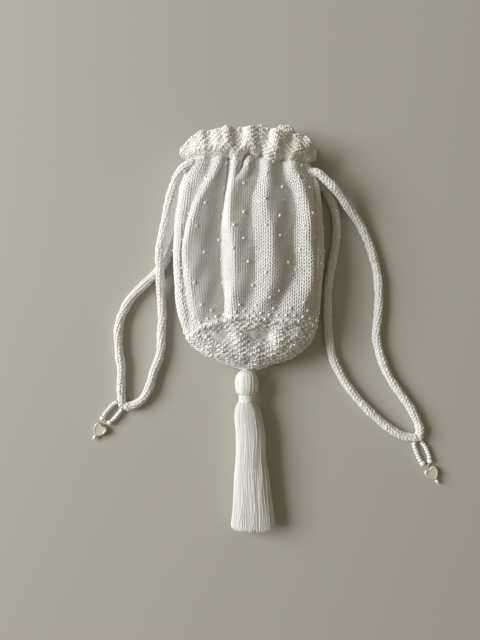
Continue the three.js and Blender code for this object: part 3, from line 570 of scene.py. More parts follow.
for side, strings, counts in (("left", (LEFT_STRING_A, LEFT_STRING_B), (8, 7)), ("right", (RIGHT_STRING_A, RIGHT_STRING_B), (7, 7))):
    notch, tip = (flat(p) for p in HEARTS[side])
    d = unit(tip - notch)
    across = np.array([-d[1], d[0], 0.0])
    made, threads = [], []
    merge = notch - 1.1 * d
    for letter, route, count in zip("ab", strings, counts):
        pts = [flat(p) for p in route]
        C = smooth_line(pts + [merge], 0.1)
        total = length_of(C)
        pitch = min(SEED_PITCH, (total - END_LEN / 2 - 1.0 - END_LEN / 2 - SEED_LEN / 2 - 0.15) / count)
        boxes = cells(count)
        parts = []
        for i in range(count):
            p, t = at_length(C, i * pitch)
            size = 1 + rng.uniform(-0.05, 0.04)
            parts.append(lathe(bead_profile(SEED_D * size, min(SEED_LEN, pitch - 0.1) * size, BORE), 20, p, t + rng.normal(0, 0.05, 3), boxes[i]))
        o = build(f"seed_beads_{side}_{letter}", parts, PEARL)
        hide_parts(*[f"seed_bead_{side}_{letter}{i + 1}" for i in range(count)])
        made.append(o)
        p, t = at_length(C, (count - 1) * pitch + SEED_LEN / 2 + END_LEN / 2 + 0.25)
        o = build(f"large_bead_{side}_{letter}", [lathe(bead_profile(END_D, END_LEN, BORE, 13), 28, p, t, (0, 0, 1, 1))], PEARL)
        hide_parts(f"end_bead_{side}_{letter}")
        made.append(o)
        # The thread starts inside the sewn end of the cord.
        start = np.array(LEFT_JOIN if side == "left" else RIGHT_JOIN)
        first = start + unit(pts[0] - start) * 1.2
        threads.append(smooth_line([first, (first + pts[0]) / 2 + np.array([0, 0, 0.1])] + pts[0:] + [merge, notch + 0.6 * d], 0.4))
    tail = tip + (STOP_D + 0.7) * d
    shaft = np.stack([notch + 0.1 * d + (tail - notch) * f for f in np.linspace(0, 1, 9)])
    parts = []
    boxes = cells(6)
    for k, C in enumerate(threads + [shaft]):
        _, n, _ = frames(C)
        parts.append(sweep(C, n, 0.25, 8, boxes[k]))
    parts.append(ball(tail, 0.62, boxes[3]))
    # short loose ends of the knotted thread
    for k, turn in enumerate((0.5, -0.7)):
        e = unit(d + turn * across + np.array([0, 0, -0.15]))
        C = smooth_line([tail, tail + 0.6 * e, tail + 1.2 * unit(e + 0.4 * turn * across)], 0.2)
        _, n, _ = frames(C)
        parts.append(sweep(C, n, np.linspace(0.22, 0.12, len(C)), 6, boxes[4 + k]))
    o = build(f"drop_thread_{side}", parts, THREADM)
    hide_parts(f"bead_thread_{side}")
    made.append(o)
    o = build(f"small_bead_{side}", [lathe(bead_profile(STOP_D, 1.9, BORE, 11), 24, tip + (STOP_D * 0.5 + 0.25) * d, d, (0, 0, 1, 1))], PEARL)
    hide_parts(f"stop_bead_{side}")
    made.append(o)
    for o in made:
        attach(o, f"bead_drop_{side}")
    out = heart_outline()
    middle = (notch + tip) / 2
    levels = [(0.0, -1.5), (0.45, -1.5), (0.74, -1.5), (0.88, -1.42), (0.96, -1.15), (1.0, -0.75), (1.0, 0.75), (0.965, 1.12), (0.90, 1.36), (0.82, 1.46), (0.75, 1.40), (0.71, 1.26), (0.40, 1.30), (0.0, 1.32)]
    P = np.stack([middle + (out[:, :1] * k * across + (-out[:, 1:2] * k - 0.6 * (1 - k)) * d + np.array([0, 0, z])) for k, z in levels])
    o = build(f"heart_{side}", [grid_part(P, True, (0, 0, 1, 1))], NACRE)
    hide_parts(f"heart_bead_{side}")
    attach(o, f"heart_{side}")
    made.append(o)

for side, exit_front, exit_back in (("left", LEFT_FRONT[0], LEFT_BACK[0]), ("right", RIGHT_FRONT[0], RIGHT_BACK[0])):
    for leg, exit_at in (("front", exit_front), ("back", exit_back)):
        o, line = cords[side, leg]

# ------------------------------------------------------------------ the bag's surface
# y, centre x, half width, top z, bottom z, middle z
ROWS = np.array([
  [-25.0, 0.3, 2.2, 9.9, 6.5, 8.2], [-23.6, 0.3, 7.4, 11.6, 5.2, 8.2], [-21.8, 1.2, 13.6, 14.2, 3.5, 8.4], [-18.6, 2.2, 20.6, 17.4, 2.6, 8.9],
  [-15.3, 1.8, 26.8, 20.2, 1.8, 9.8], [-10.6, 1.8, 33.1, 22.5, 1.6, 10.7], [-5.7, 1.4, 37.2, 24.7, 1.5, 11.5], [-1, 1.2, 39.2, 25.9, 1.4, 12.1],
  [3.8, 0.9, 40.5, 26.6, 1.4, 12.4], [8.5, .6, 41.7, 27.2, 1.4, 12.7], [13.5, .4, 42.6, 27.6, 1.4, 12.9], [21.6, .4, 43.5, 28, 1.4, 13],
  [28, .5, 43.8, 28.1, 1.4, 13], [42.6, .7, 44.8, 28.1, 1.4, 13], [57, .8, 44.4, 27.8, 1.4, 13], [71.6, 1.2, 43.0, 26.8, 1.4, 12.8],
  [80, 1.7, 41.9, 25.6, 1.5, 12.4], [86.2, 2.0, 40.8, 24.6, 1.6, 12.0], [91, 2.0, 39.4, 23.9, 1.8, 11.7], [95.9, 2.0, 37.5, 23.3, 2.0, 11.4],
  [100.2, 2.4, 35.3, 22.8, 2.1, 11.3], [103.5, 2.9, 34.0, 22.4, 2.2, 11.2]])


def pchip(x, y):
    x, y = np.asarray(x, float), np.asarray(y, float)
    if y.ndim == 1:
        y = y[:, None]
    h = np.diff(x)[:, None]
    d = np.diff(y, axis=0) / h
    m = np.zeros_like(y)
    w1, w2 = 2 * h[1:] + h[:-1], h[1:] + 2 * h[:-1]
    a, b = d[:-1], d[1:]
    ok = a * b > 0
    sa, sb = np.where(ok, a, 1.0), np.where(ok, b, 1.0)
    m[1:-1] = np.where(ok, (w1 + w2) / (w1 / sa + w2 / sb), 0.0)
    m[0], m[-1] = d[0], d[-1]

    def f(q):
        q = np.clip(np.asarray(q, float), x[0], x[-1])
        i = np.clip(np.searchsorted(x, q, side="right") - 1, 0, len(x) - 2)
        hh = (x[i + 1] - x[i])[..., None]
        t = ((q - x[i])[..., None]) / hh
        return ((1 + 2 * t) * (1 - t) ** 2 * y[i] + t * (1 - t) ** 2 * hh * m[i] + t * t * (3 - 2 * t) * y[i + 1] + t * t * (t - 1) * hh * m[i + 1])
    return f


profile = pchip(ROWS[:, 0], ROWS[:, 1:])

# Where the pleats run on the front, in millimetres, from the neck down to the ridge: valleys and crests by turns.
PLEAT_ROWS = px_y(np.arange(162, 323, 10))
PLEATS = px_x(np.array([
  [201, 195, 189, 186, 184, 183, 181, 180, 179, 178, 178, 179, 180, 181, 181, 184, 184],
  [211, 208, 201, 196, 192, 189, 186, 183, 181, 180, 180, 181, 183, 185, 186, 188, 190],
  [222, 215, 209, 204, 198, 195, 192, 189, 187, 186, 187, 189, 191, 192, 194, 196, 199],
  [228, 227, 226, 225, 224, 222, 221, 220, 220, 220, 220, 221, 222, 224, 225, 224, 224],
  [236, 235, 233, 231, 230, 230, 230, 232, 234, 234, 235, 236, 235, 233, 232, 232, 233],
  [260, 260, 257, 253, 251, 251, 253, 255, 255, 254, 256, 256, 255, 255, 254, 251, 249],
  [268, 268, 267, 266, 265, 267, 270, 272, 272, 272, 272, 272, 271, 268, 263, 257, 254],
  [283, 284, 288, 294, 298, 297, 295, 294, 293, 295, 297, 296, 292, 287, 280, 274, 270],
  [290, 297, 301, 304, 307, 309, 310, 310, 310, 312, 313, 313, 312, 309, 304, 300, 297],
], float).T)
order = np.argsort(PLEAT_ROWS)
PLEAT_ROWS, PLEATS = PLEAT_ROWS[order], PLEATS[order]
soft = np.concatenate([PLEATS[:1], PLEATS, PLEATS[-1:]])
PLEATS = 0.25 * soft[:-2] + 0.5 * soft[1:-1] + 0.25 * soft[2:]
pleat_at = pchip(PLEAT_ROWS, PLEATS)
# How far each valley is pushed in, by course height.
DEPTH = pchip([-24, -6, 5, 7.3, 9.6, 18, 30, 48, 75, 90, 99, 104], np.array([
  [0, .1, 0, .2, 0, .2, 0, .2, 0],
  [0, .2, 0, .5, 0, .4, 0, .3, 0],
  [0, .4, 0, 1.2, 0, .6, 0, .5, 0],
  [0, .7, 0, 1.4, 0, .7, 0, .6, 0],
  [0, 1.0, 0, 4.6, 0, 1.0, 0, 1.0, 0],
  [0, 1.8, 0, 6.8, 0, 2.4, 0, 3.0, 0],
  [0, 2.6, 0, 8.6, 0, 2.6, 0, 4.8, 0],
  [0, 3.0, 0, 9.4, 0, 3.0, 0, 5.6, 0],
  [0, 2.8, 0, 8.4, 0, 3.0, 0, 5.4, 0],
  [0, 2.6, 0, 7.0, 0, 3.4, 0, 5.2, 0],
  [0, 2.6, 0, 5.4, 0, 4.8, 0, 4.8, 0],
  [0, 2.6, 0, 4.6, 0, 4.2, 0, 4.2, 0]], float))


def ease(x, a, b):
    t = np.clip((x - a) / (b - a), 0, 1)
    return t * t * (3 - 2 * t)


def pleat_height(x, y, v):
    """How far the front is pushed in at each point, zero on a crest."""
    c = pleat_at(y)
    D = DEPTH(v)
    A = D[:, 7]
    out = np.zeros_like(x)
    for k in range(c.shape[1] - 1):
        a, b = c[:, k], c[:, k + 1]
        t = np.clip((x - a) / np.maximum(b - a, 0.5), 0, 1)
        cos = (1 - np.cos(np.pi * t)) / 2
        s = 0.55 * t + 0.45 * t * t if k == 2 else 0.45 * t + 0.55 * cos
        inside = (x >= a) & (x < b)
        out = np.where(inside, -(D[:, k] + (D[:, k + 1] - D[:, k]) * s), out)
    right = c[:, -1]
    out = np.where(x >= right, -A * 0.6 * np.clip((x - right) / 7.0, 0, 1) ** 1.5, out)
    # an extra short fold at the neck, which leaves a small pocket at its left
    f = ease(y, 86, 97)
    lean = px_x(243) + (y - 94) * 0.42
    out = out - 3.2 * f * np.exp(-((x - lean + 2.2) / 1.9) ** 2) + 1.8 * f * np.exp(-((x - lean - 2.6) / 2.6) ** 2)
    # the fold that runs down the right edge
    right = np.exp(-((x - px_x(315)) / 1.5) ** 2) * ease(y, 12, 34) * (1 - ease(y, 86, 100))
    return out - 1.3 * right


RIDGE = np.array([[-46, 14.5], [-40, 12.6], [-34, 9.9], [-26.3, 5.6], [-16.9, 3.2], [-9.9, 1.3], [-1.1, 0], [6.5, 1.2], [13, 2.6], [26, 2.6], [34, 3.9], [40, 5.2], [46, 6.5]])
ridge_drop = pchip(RIDGE[:, 0], RIDGE[:, 1])
RIDGE_V = 7.3
bend_share = pchip([-25, -18, -5, RIDGE_V, 22, 45, 60], [0.0, 0.12, 0.6, 1.0, 0.62, 0.0, 0.0])


def folds_behind(x, y):
    A = np.interp(y, [-20, 10, 60, 88, 103], [0.0, 0.3, 0.7, 1.6, 2.2])
    return A * (0.5 - 0.5 * np.cos(x * 0.55 + 1.5 * np.sin(x * 0.13) + 0.02 * y))


def uneven(x, y):
    return 0.22 * np.sin(x * 0.31 + 1.7 * np.sin(y * 0.09)) * np.sin(y * 0.23 + 0.6) + 0.16 * np.sin(x * 0.62 - y * 0.17 + 2.0)


NECK_V = 101.8
# How far the neck line rises above its lowest, from side to side: it climbs over the folds and drops between them.
NECK_LINE = np.array([[188, 2.2], [200, 2.6], [209, 1.6], [217, 2.2], [229, 1.2], [237, -0.5], [241, -0.5], [249, 3.6], [256, 1.4], [261, 3.2], [268, -0.4], [276, -0.9], [284, 0.7], [290, -0.6], [300, -0.3], [312, -0.9]])
neck_line = pchip(px_x(NECK_LINE[:, 0]), NECK_LINE[:, 1])
# Each hollow of the base: centre, half widths, depth. Its left side is long and its right side steep.
HOLLOWS = [(px_x(229.3), px_y(335.5), 5.4, 3.8, 2.8), (px_x(267), px_y(335.5), 6.4, 4.8, 4.0), (px_x(292), px_y(333), 5.0, 2.6, 0.7)]


def bag_point(theta, v):
    """Points of the bag and neck at ring angle theta (0 at the right edge, pi/2 on the front) and course height v."""
    c, s = np.cos(theta), np.sin(theta)
    p = profile(v)
    x0 = p[..., 0] + p[..., 1] * np.sign(c) * np.abs(c) ** 0.9
    y = v - bend_share(v)[..., 0] * ridge_drop(x0)[..., 0]
    p = profile(y)
    cx, w, zt, zb, zm = (p[..., k] for k in range(5))
    e = np.interp(y, [-24, -10, 20, 60, 95], [1.0, 0.9, 0.74, 0.7, 0.66])
    # the drawn neck is a groove all the way round
    pinch = np.exp(-((v - NECK_V) / 1.9) ** 2)
    w = w - 0.6 * pinch
    x = cx + w * np.sign(c) * np.abs(c) ** e
    edge = np.minimum(1.0, np.abs(s) * 1.9)
    welt = 1.3 * np.exp(-((v - RIDGE_V - 0.2) / 1.5) ** 2)
    hollow = 0.0
    for hx, hy, rx, ry, deep in HOLLOWS:
        hollow = hollow + 1.35 * deep * np.exp(-((x - hx) / np.where(x < hx, 1.35 * rx, 0.6 * rx)) ** 2 - ((y - hy) / ry) ** 2)
    fold = pleat_height(x, y, v)
    up = zm + (zt - zm) * np.abs(s) ** e + edge * (fold + uneven(x, y) + welt - hollow) - (2.0 + 0.3 * np.clip(-fold, 0, 4)) * pinch * np.abs(s) ** 0.5
    y = y + np.where(s >= 0, neck_line(x)[..., 0] * ease(v, 90, NECK_V) * np.clip(s * 2.5, 0, 1), 0.0)
    down = zm - (zm - zb) * np.minimum(1.12 * np.abs(s) ** e, 1) + np.abs(s) * (folds_behind(x, y) + 1.0 * pinch)
    z = np.where(s >= 0, up, down)
    return np.stack([x, y, z], -1)


# The ruffle: flutes whose crests and valleys run from the neck to the rim.
FLUTES = px_x(np.array([
  [190, 205, 211, 225, 241, 248, 264, 272, 283, 292, 307],   # at the neck
  [178, 200, 206, 227, 240, 250, 268, 279, 292, 314, 321],   # at the rim
], float), 23.0)
FLUTE_H = np.array([-2.4, 0.6, -1.3, 1.0, -2.4, 0.8, -2.2, 1.2, -2.4, -0.8, -3.8])
RIM = np.array([[-44, 108.5], [-39.3, 109.8], [-36.4, 111.4], [-32.9, 113.4], [-29.3, 115.4], [-26.0, 116.6], [-23.4, 116.6], [-20.5, 116.6], [-15.8, 117.4], [-11.3, 118.2], [-7.0, 117.2], [-3.4, 118.3], [1.3, 118.0], [4.2, 118.7], [7.8, 119.3], [10.7, 118.9], [13.5, 117.7], [16.6, 116.6], [20.7, 115.6], [24.8, 115.2], [30.7, 115.0], [33.6, 114.6], [35.6, 113.6], [38, 112.0], [40.4, 109.8], [41.6, 107.5], [43, 106]])
rim_y = pchip(RIM[:, 0], RIM[:, 1])


def ruffle_point(theta, f):
    """Points of the ruffle, f from 0 at the neck to 1 at the rim."""
    c, s = np.cos(theta), np.sin(theta)
    base = bag_point(theta, np.full_like(theta, NECK_V))
    wide = 40.0 + 0.9 * np.sin(theta * 7 + 0.5)
    rx = 1.0 + wide * np.sign(c) * np.abs(c) ** 0.78
    front = ease(s, -0.35, 0.35)
    # behind, one lobe stands up past the front rim
    lobe = np.exp(-(np.abs(rx - px_x(285.5, 12.0)) / 6.6) ** 4)
    ry = rim_y(rx)[..., 0] * front + (117.5 - 8.0 * np.abs(c) ** 5 + 1.6 * np.sin(theta * 11) * (1 - lobe) + 6.2 * lobe) * (1 - front)
    # at both sides the rim turns down
    lx = np.maximum(c, 0) ** 26
    ry = ry - lx * 4.6 - np.maximum(-c, 0) ** 22 * 3.4
    rx = rx - np.abs(c) ** 40 * 1.3
    edge = np.minimum(1.0, np.abs(s) * 1.5)
    x_mid = base[..., 0] + (rx - base[..., 0]) * f
    at = FLUTES[0][None] + (FLUTES[1] - FLUTES[0])[None] * np.asarray(f)[..., None]
    h = np.zeros_like(x_mid)
    for k in range(at.shape[-1] - 1):
        a, b = at[..., k], at[..., k + 1]
        t = np.clip((x_mid - a) / np.maximum(b - a, 0.5), 0, 1)
        g = FLUTE_H[k] + (FLUTE_H[k + 1] - FLUTE_H[k]) * (0.15 * t + 0.85 * (1 - np.cos(np.pi * t)) / 2)
        h = np.where((x_mid >= a) & (x_mid < b), g, h)
    h = np.where(x_mid < at[..., 0], FLUTE_H[0], h)
    h = np.where(x_mid >= at[..., -1], FLUTE_H[-1], h)
    grow = ease(f, -0.10, 0.36)
    top = 11.2 + (24.6 - 11.2) * np.abs(s) ** 0.55
    low = 11.2 - (11.2 - 2.2) * np.minimum(1.1 * np.abs(s) ** 0.6, 1)
    zf = top + edge * h * (0.75 + 0.4 * f) + 0.5 * np.sin(rx * 0.9) * f
    zb = low + ((0.5 + 0.5 * np.cos(rx * 0.62 + 0.4)) * 3.2 * (1 - lobe) + 9.5 * lobe) * np.abs(s)
    rz = np.where(s >= 0, zf, zb)
    z = base[..., 2] + (rz - base[..., 2]) * grow
    bell = np.sin(np.pi * np.clip(f, 0, 1) ** 0.65) * 1.6 * np.where(s >= 0, 1, -0.15)
    y = base[..., 1] + (ry - base[..., 1]) * (0.9 * f + 0.1 * f * f)
    return np.stack([x_mid, y, z + bell * np.abs(s)], -1)


# Grids of points with the same share of stitches between equal steps of q: q = 0 at the middle of the back, 0.25 near
# the right edge, 0.5 at the middle of the front, 0.75 near the left edge.
NQ = 361


def even_ring(point, v, dense=1441, split=0.0):
    theta = np.linspace(-np.pi / 2, 3 * np.pi / 2, dense)
    P = point(theta, np.full_like(theta, v))
    s = np.concatenate([[0], np.cumsum(np.linalg.norm(np.diff(P, axis=0), axis=1))])
    # the middle of the front and of the back at x = split
    up = (theta > 0) & (theta < np.pi)
    mid = np.interp(0, -(P[up, 0] - split), s[up])
    k0 = (theta < 0)
    start = np.interp(split, P[k0, 0], s[k0]) if P[k0, 0].min() < split < P[k0, 0].max() else 0.0
    k1 = (theta > np.pi)
    end = np.interp(split, P[k1, 0], s[k1]) if P[k1, 0].min() < split < P[k1, 0].max() else s[-1]
    if start == 0.0 and end != s[-1]:
        start = end - s[-1]
    elif end == s[-1] and start != 0.0:
        end = s[-1] + start
    q = np.linspace(0, 1, NQ)
    g = np.where(q <= 0.5, start + (mid - start) * q * 2, mid + (end - mid) * (q - 0.5) * 2)
    g = np.mod(g, s[-1] + 1e-9)
    out = np.stack([np.interp(g, s, P[:, k]) for k in range(3)], 1)
    return out, s[-1]


BAG_V = np.concatenate([np.linspace(-24.9, -12, 27), np.linspace(-11.5, 104, 165)])
BAG = []
PERIM = []
for v in BAG_V:
    ring_points, around = even_ring(bag_point, v)
    BAG.append(ring_points)
    PERIM.append(around)
BAG, PERIM = np.array(BAG), np.array(PERIM)
RUFF_V = np.linspace(0, 1.04, 40)
RUFF = np.array([even_ring(ruffle_point, f)[0] for f in RUFF_V])


def grid_normals(G):
    du = np.empty_like(G)
    ring = G[:, :-1]
    du[:, :-1] = np.roll(ring, -1, axis=1) - np.roll(ring, 1, axis=1)
    du[:, -1] = du[:, 0]
    dv = np.gradient(G, axis=0)
    n = unit(np.cross(du, dv))
    # outward: up on the front, down behind
    sign = np.sign((n * (G - G.mean(axis=1, keepdims=True))).sum((1, 2)))
    n = n * np.where(sign < 0, -1, 1)[:, None, None]
    # slightly smoothed, so that stitches in a sharp fold don't splay
    m = n[:, :-1]
    m = m + 0.5 * (np.roll(m, 1, axis=1) + np.roll(m, -1, axis=1))
    n[:, :-1] = unit(m)
    n[:, -1] = n[:, 0]
    return n


BAG_N, RUFF_N = grid_normals(BAG), grid_normals(RUFF)


def sample(G, V, q, v):
    """Bilinear look-up of the grid at q (wrapping) and v."""
    a = np.mod(q, 1.0) * (NQ - 1)
    i = np.floor(a).astype(int)
    fa = (a - i)[:, None]
    i2 = np.minimum(i + 1, NQ - 1)
    j = np.clip(np.searchsorted(V, v, side="right") - 1, 0, len(V) - 2)
    fb = ((v - V[j]) / (V[j + 1] - V[j]))[:, None]
    return (1 - fb) * ((1 - fa) * G[j, i] + fa * G[j, i2]) + fb * ((1 - fa) * G[j + 1, i] + fa * G[j + 1, i2])


def folds(x, y, z):
    """Where the cloth lies in a hollow of the base, and where on the right-hand flank of a fold, each from 0 to 1. The
    flank share also lifts the sheet of painted shade over the stitches.
    """
    low = np.zeros(x.shape)
    for hx, hy, rx, ry, deep in HOLLOWS[:2]:
        low = np.maximum(low, np.exp(-(((x - hx + 5.2) / (0.92 * rx)) ** 2 + ((y - hy - 0.4) / (0.9 * ry)) ** 2) ** 1.3))
    c = pleat_at(y)
    flank = np.zeros(x.shape)
    for k, foot in ((2, 2.0), (4, 13.0), (6, 13.0)):
        m = ease(x, c[..., k] - 0.6, c[..., k] + 2.0) * (1 - ease(x, c[..., k + 1] - 1.0, c[..., k + 1] + 0.8))
        flank = np.maximum(flank, m * ease(y, foot, foot + (3 if k == 2 else 10)))
    return low * (z > 10), flank * (z > 10)


def tip_inset(v):
    return 0.9 * (1 - ease(np.asarray(v, float), -23, -14))


def calm(P, bag):
    """How strongly the stitches stand out and how thick their yarn looks: plain in the folds and hollows, more open toward the right."""
    if not bag:
        return np.ones(len(P)), np.ones(len(P))
    low, flank = folds(P[:, 0], P[:, 1], P[:, 2])
    open_ = np.clip((P[:, 0] + 10) / 42, 0, 1) * (P[:, 1] > 8) * (1 - flank)
    return (1 - 0.9 * low) * (1 - 0.7 * flank), (1 - 0.21 * open_) * (1 + 0.12 * flank)


def knit(G, GN, GV, courses, j_from, j_to, per, sides, seed, jitter=1.0, bag=True):
    """Yarn-by-yarn knitting. courses: (v, loop half-height in v, stitches round, signs or None, stitch depth, yarn radius).
    j_from and j_to give the first and last stitch of a course as shares of the ring."""
    parts = []
    rows = len(courses)
    for n, (v0, hh, W, sign, depth, rad) in enumerate(courses):
        j0, j1 = int(round(j_from * W)), int(round(j_to * W))
        if j1 <= j0:
            continue
        cnt = j1 - j0
        tau = np.arange(cnt * per + 1) / per + j0
        t = 2 * np.pi * (tau - np.floor(tau + 1e-9) - 0.5)
        t[-1] = np.pi
        rr = np.random.default_rng(seed * 1000 + n)
        wob = rr.normal(0, 1, (4, W + 1))
        wob[:, -1] = wob[:, 0]
        w = [np.interp(tau, np.arange(W + 1) + 0.0, wob[k]) * jitter for k in range(4)]
        if sign is None:
            sg = np.ones_like(tau)
        else:
            # the yarn passes to the other side between a stitch and the next
            here = np.where((np.floor(tau + 1e-9).astype(int) - W // 2 + sign) % 2 == 0, 1.0, -1.0)
            frac = tau - np.floor(tau + 1e-9)
            b = 0.16
            share_here = np.minimum(np.clip(frac / b, 0, 1), np.clip((1 - frac) / b, 0, 1))
            sg = here * share_here
        u = tau + 0.2387 * np.sin(2 * t) + 0.03 * w[0]
        v = v0 + hh * np.cos(t) + 0.04 * hh * w[1]
        q = u / W
        P = sample(G, GV, q, v)
        plain, thin = calm(P, bag)
        size = 1.0 if sign is None else np.clip(1 + 0.3 * w[3], 0.45, 1.5)
        off = -sg * depth * size * plain * np.cos(2 * t) + (0.05 if sign is None else 0.13) * w[2]
        if bag:
            off = off - tip_inset(v)
            if sign is not None:
                # courses of the base stand out by turns
                off = off + (0.26 if n % 2 else -0.26) * plain
        Nn = unit(sample(GN, GV, q, v))
        line = P + off[:, None] * Nn
        cell = (0.0, (n + 0.06) / rows, 1.0, (n + 0.94) / rows)
        parts.append(sweep(line, Nn, rad * thin, sides, cell, closed_ends=False))
    return parts


def bag_piece(o, nodes=()):
    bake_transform(o)
    if nodes:
        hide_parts(*nodes)
    return o


# Courses of the stockinette, from the ridge to the neck.
W = 76
ROW = 1.93
body_rows = np.arange(RIDGE_V + 1.4, NECK_V + 0.4, ROW)
share = {"right": (0.0, 0.5), "left": (0.5, 1.0)}
BACK_Q = {"right": (0.0, 0.215), "left": (0.785, 1.0)}
FRONT_Q = {"right": (0.215, 0.5), "left": (0.5, 0.785)}
neck_from = 88.9
for side in ("left", "right"):
    below = [(v, 1.66, W, None, 0.42, 0.57) for v in body_rows if v < neck_from]
    above = [(v, 1.66, W, None, 0.42, 0.57) for v in body_rows if v >= neck_from]
    bag_piece(build(f"body_front_{side}", knit(BAG, BAG_N, BAG_V, below, *FRONT_Q[side], 14, 5, 3), YARN), nodes=["body_stockinette"])
    bag_piece(build(f"body_back_{side}", knit(BAG, BAG_N, BAG_V, below, *BACK_Q[side], 10, 4, 3), YARN), nodes=["body_stockinette"])
    bag_piece(build(f"neck_band_{side}", knit(BAG, BAG_N, BAG_V, above, *share[side], 12, 5, 4), YARN), nodes=[f"neck_eyelet_band_{side}"])

# Courses of the base, spaced evenly along its middle line, with fewer stitches toward the tip.
line_v = np.linspace(-24.2, RIDGE_V, 400)
mid_line = sample(BAG, BAG_V, np.full(400, 0.5), line_v)
run_len = np.concatenate([[0], np.cumsum(np.linalg.norm(np.diff(mid_line, axis=0), axis=1))])
count = int(round(run_len[-1] / 1.62))
base_v = np.interp(np.arange(count + 1) / count * run_len[-1], run_len, line_v)
step_v = np.gradient(base_v)
base_rows = []
for n, (v, dv) in enumerate(zip(base_v, step_v)):
    around = np.interp(v, BAG_V, PERIM)
    w = max(8, 2 * int(round(around / 2.75 / 2)))
    if v > -2:
        w = W
    base_rows.append((v, 0.72 * dv, w, n, 0.44, 0.72))
for side in ("left", "right"):
    bag_piece(build(f"base_moss_{side}", knit(BAG, BAG_N, BAG_V, base_rows, *share[side], 12, 5, 6, jitter=2.1), YARN), nodes=["base_moss_stitch"])

# The ruffle.
RW = 96
ruff_rows = [(f, 0.058, RW, n, 0.31, 0.72) for n, f in enumerate(np.linspace(0.03, 0.99, 12))]
for side in ("left", "right"):
    bag_piece(build(f"ruffle_{side}", knit(RUFF, RUFF_N, RUFF_V, ruff_rows, *share[side], 12, 5, 8, jitter=1.3, bag=False), RUFFLEM), nodes=[f"ruffle_frill_{side}"])

# The inner face of the knitting, painted dark grey-brown as the shade inside the bag, seen only between the stitches
# and in the mouth.
for side in ("left", "right"):
    a, b = (0, NQ // 2 + 1) if side == "right" else (NQ // 2, NQ)
    G = (BAG - 1.15 * BAG_N)[24::2, a:b:2]
    bag_piece(build(f"inner_side_painted_shade_{side}", [grid_part(G, False, (0.0, 0.0, 1.0, 1.0), (60, 60))], INNER_SHADE_PAINT))
    # painted shade: on the right-hand flanks of the folds this beige sheet stands 0.47 mm above the middle of the
    # stitches, so their shade is partly colour and not light
    low, flank = folds(BAG[..., 0], BAG[..., 1], BAG[..., 2])
    G = (BAG - (1.15 - 1.62 * flank)[..., None] * BAG_N)[36::2, a:b:2]
    bag_piece(build(f"fold_painted_shade_{side}", [grid_part(G, False, (0.0, 0.0, 1.0, 1.0), (56, 38))], FOLD_SHADE_PAINT))
    # it lies deeper toward the outline, where the stitches alone make the edge
    G = (BAG - (0.75 - 1.05 * ease(BAG[..., 2], 11, 17) - 0.85 * low + tip_inset(BAG_V)[:, None])[..., None] * BAG_N)[4:int(np.searchsorted(BAG_V, RIDGE_V - 0.4)):2, a:b:2]
    bag_piece(build(f"base_ground_{side}", [grid_part(G, False, (0.0, 0.0, 1.0, 1.0), (30, 60))], GROUND))
    H = (RUFF + (0.7 * ease(RUFF_V, 0.1, 0.34) - 0.38)[:, None, None] * RUFF_N)[:38:2, a:b:2]
    bag_piece(build(f"ruffle_ground_{side}", [grid_part(H, False, (0.0, 0.0, 1.0, 1.0), (20, 60))], RUFFLE_GROUND))

# Pearly beads knitted in.
beads = {"left": [], "right": []}


def knitted_bead(G, GN, GV, q, v, d=1.95, proud=0.62):
    q, v = np.array([q]), np.array([v])
    p, n = sample(G, GV, q, v)[0], unit(sample(GN, GV, q, v))[0]
    side_way = unit(sample(G, GV, q + 0.004, v)[0] - sample(G, GV, q - 0.004, v)[0])
    beads["left" if q[0] % 1.0 >= 0.5 else "right"].append((p + proud * n, side_way, d))


for col in range(0, W, 4):
    odd = (col // 4) % 2
    v = 18.5 + (7.2 if odd else 0.0)
    while v < 98:
        near = body_rows[np.argmin(np.abs(body_rows - v - rng.choice([-2, 0, 0, 2])))]
        knitted_bead(BAG, BAG_N, BAG_V, (col + 2.0 + rng.choice([-1, 0, 0, 1])) / W, near + 0.3, d=rng.uniform(1.7, 2.05))
        v += 14.35
for col in range(0, W, 2):
    knitted_bead(BAG, BAG_N, BAG_V, (col + 1.0) / W, body_rows[1] + 0.4)
    if col % 4 == 0:
        knitted_bead(BAG, BAG_N, BAG_V, (col + 2.0) / W, body_rows[0] - 0.8)
    if col % 4 == 2:
        knitted_bead(BAG, BAG_N, BAG_V, (col + 2.0) / W, body_rows[3] + 0.4)
for k in range(0, RW, 8):
    knitted_bead(RUFF, RUFF_N, RUFF_V, (k + 3 + rng.uniform(-1, 1)) / RW, 0.97, proud=0.9)
for side in ("left", "right"):
    boxes = cells(len(beads[side]), 0.001)
    parts = [lathe(bead_profile(d, d * 0.68, 0.7, 7), 12, p, t, box) for (p, t, d), box in zip(beads[side], boxes)]
    bag_piece(build(f"knitted_in_beads_{side}", parts, PEARL))

# ------------------------------------------------------------------ tassel
TX, HX, TZ = -1.0, -0.5, 8.2


def strand(points, r, cell, sides=6, step=1.2, up=(0, 0, 1.0)):
    C = smooth_line(points, step, extra=10)
    _, n, _ = frames(C, up)
    return sweep(C, n, r, sides, cell)


parts = []
boxes = cells(64)
n_head = 56
for k in range(n_head):
    a = 2 * np.pi * (k + rng.uniform(-0.12, 0.12)) / n_head
    pts = []
    lift = rng.uniform(-0.15, 0.15)
    for f in np.linspace(0, 1, 13):
        t = 1.33 - f * 2.45
        R = (6.9 + lift) * max(math.cos(t * (0.86 if t < 0 else 1.0)), 0.0) ** 0.80
        R = max(R, 2.1 if f < 0.5 else 4.3)
        y = -33.0 + 8.0 * math.sin(t)
        tw = a + 0.10 * (f - 0.5)
        pts.append((HX + R * math.cos(tw), y, TZ + R * math.sin(tw)))
    parts.append(strand(pts, 0.46, boxes[k], up=(0.3, 0.1, 1.0)))
parts.append(ball((HX, -33.2, TZ), 6.55, boxes[60], squash=(1, 1.16, 1), n=18, m=24))
o = build("tassel_head", parts, TASSELM)
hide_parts("tassel_head_yarn")
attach(o, "tassel")

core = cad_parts["tassel_head_core"]
core.data.materials.clear()
core.data.materials.append(WADM)

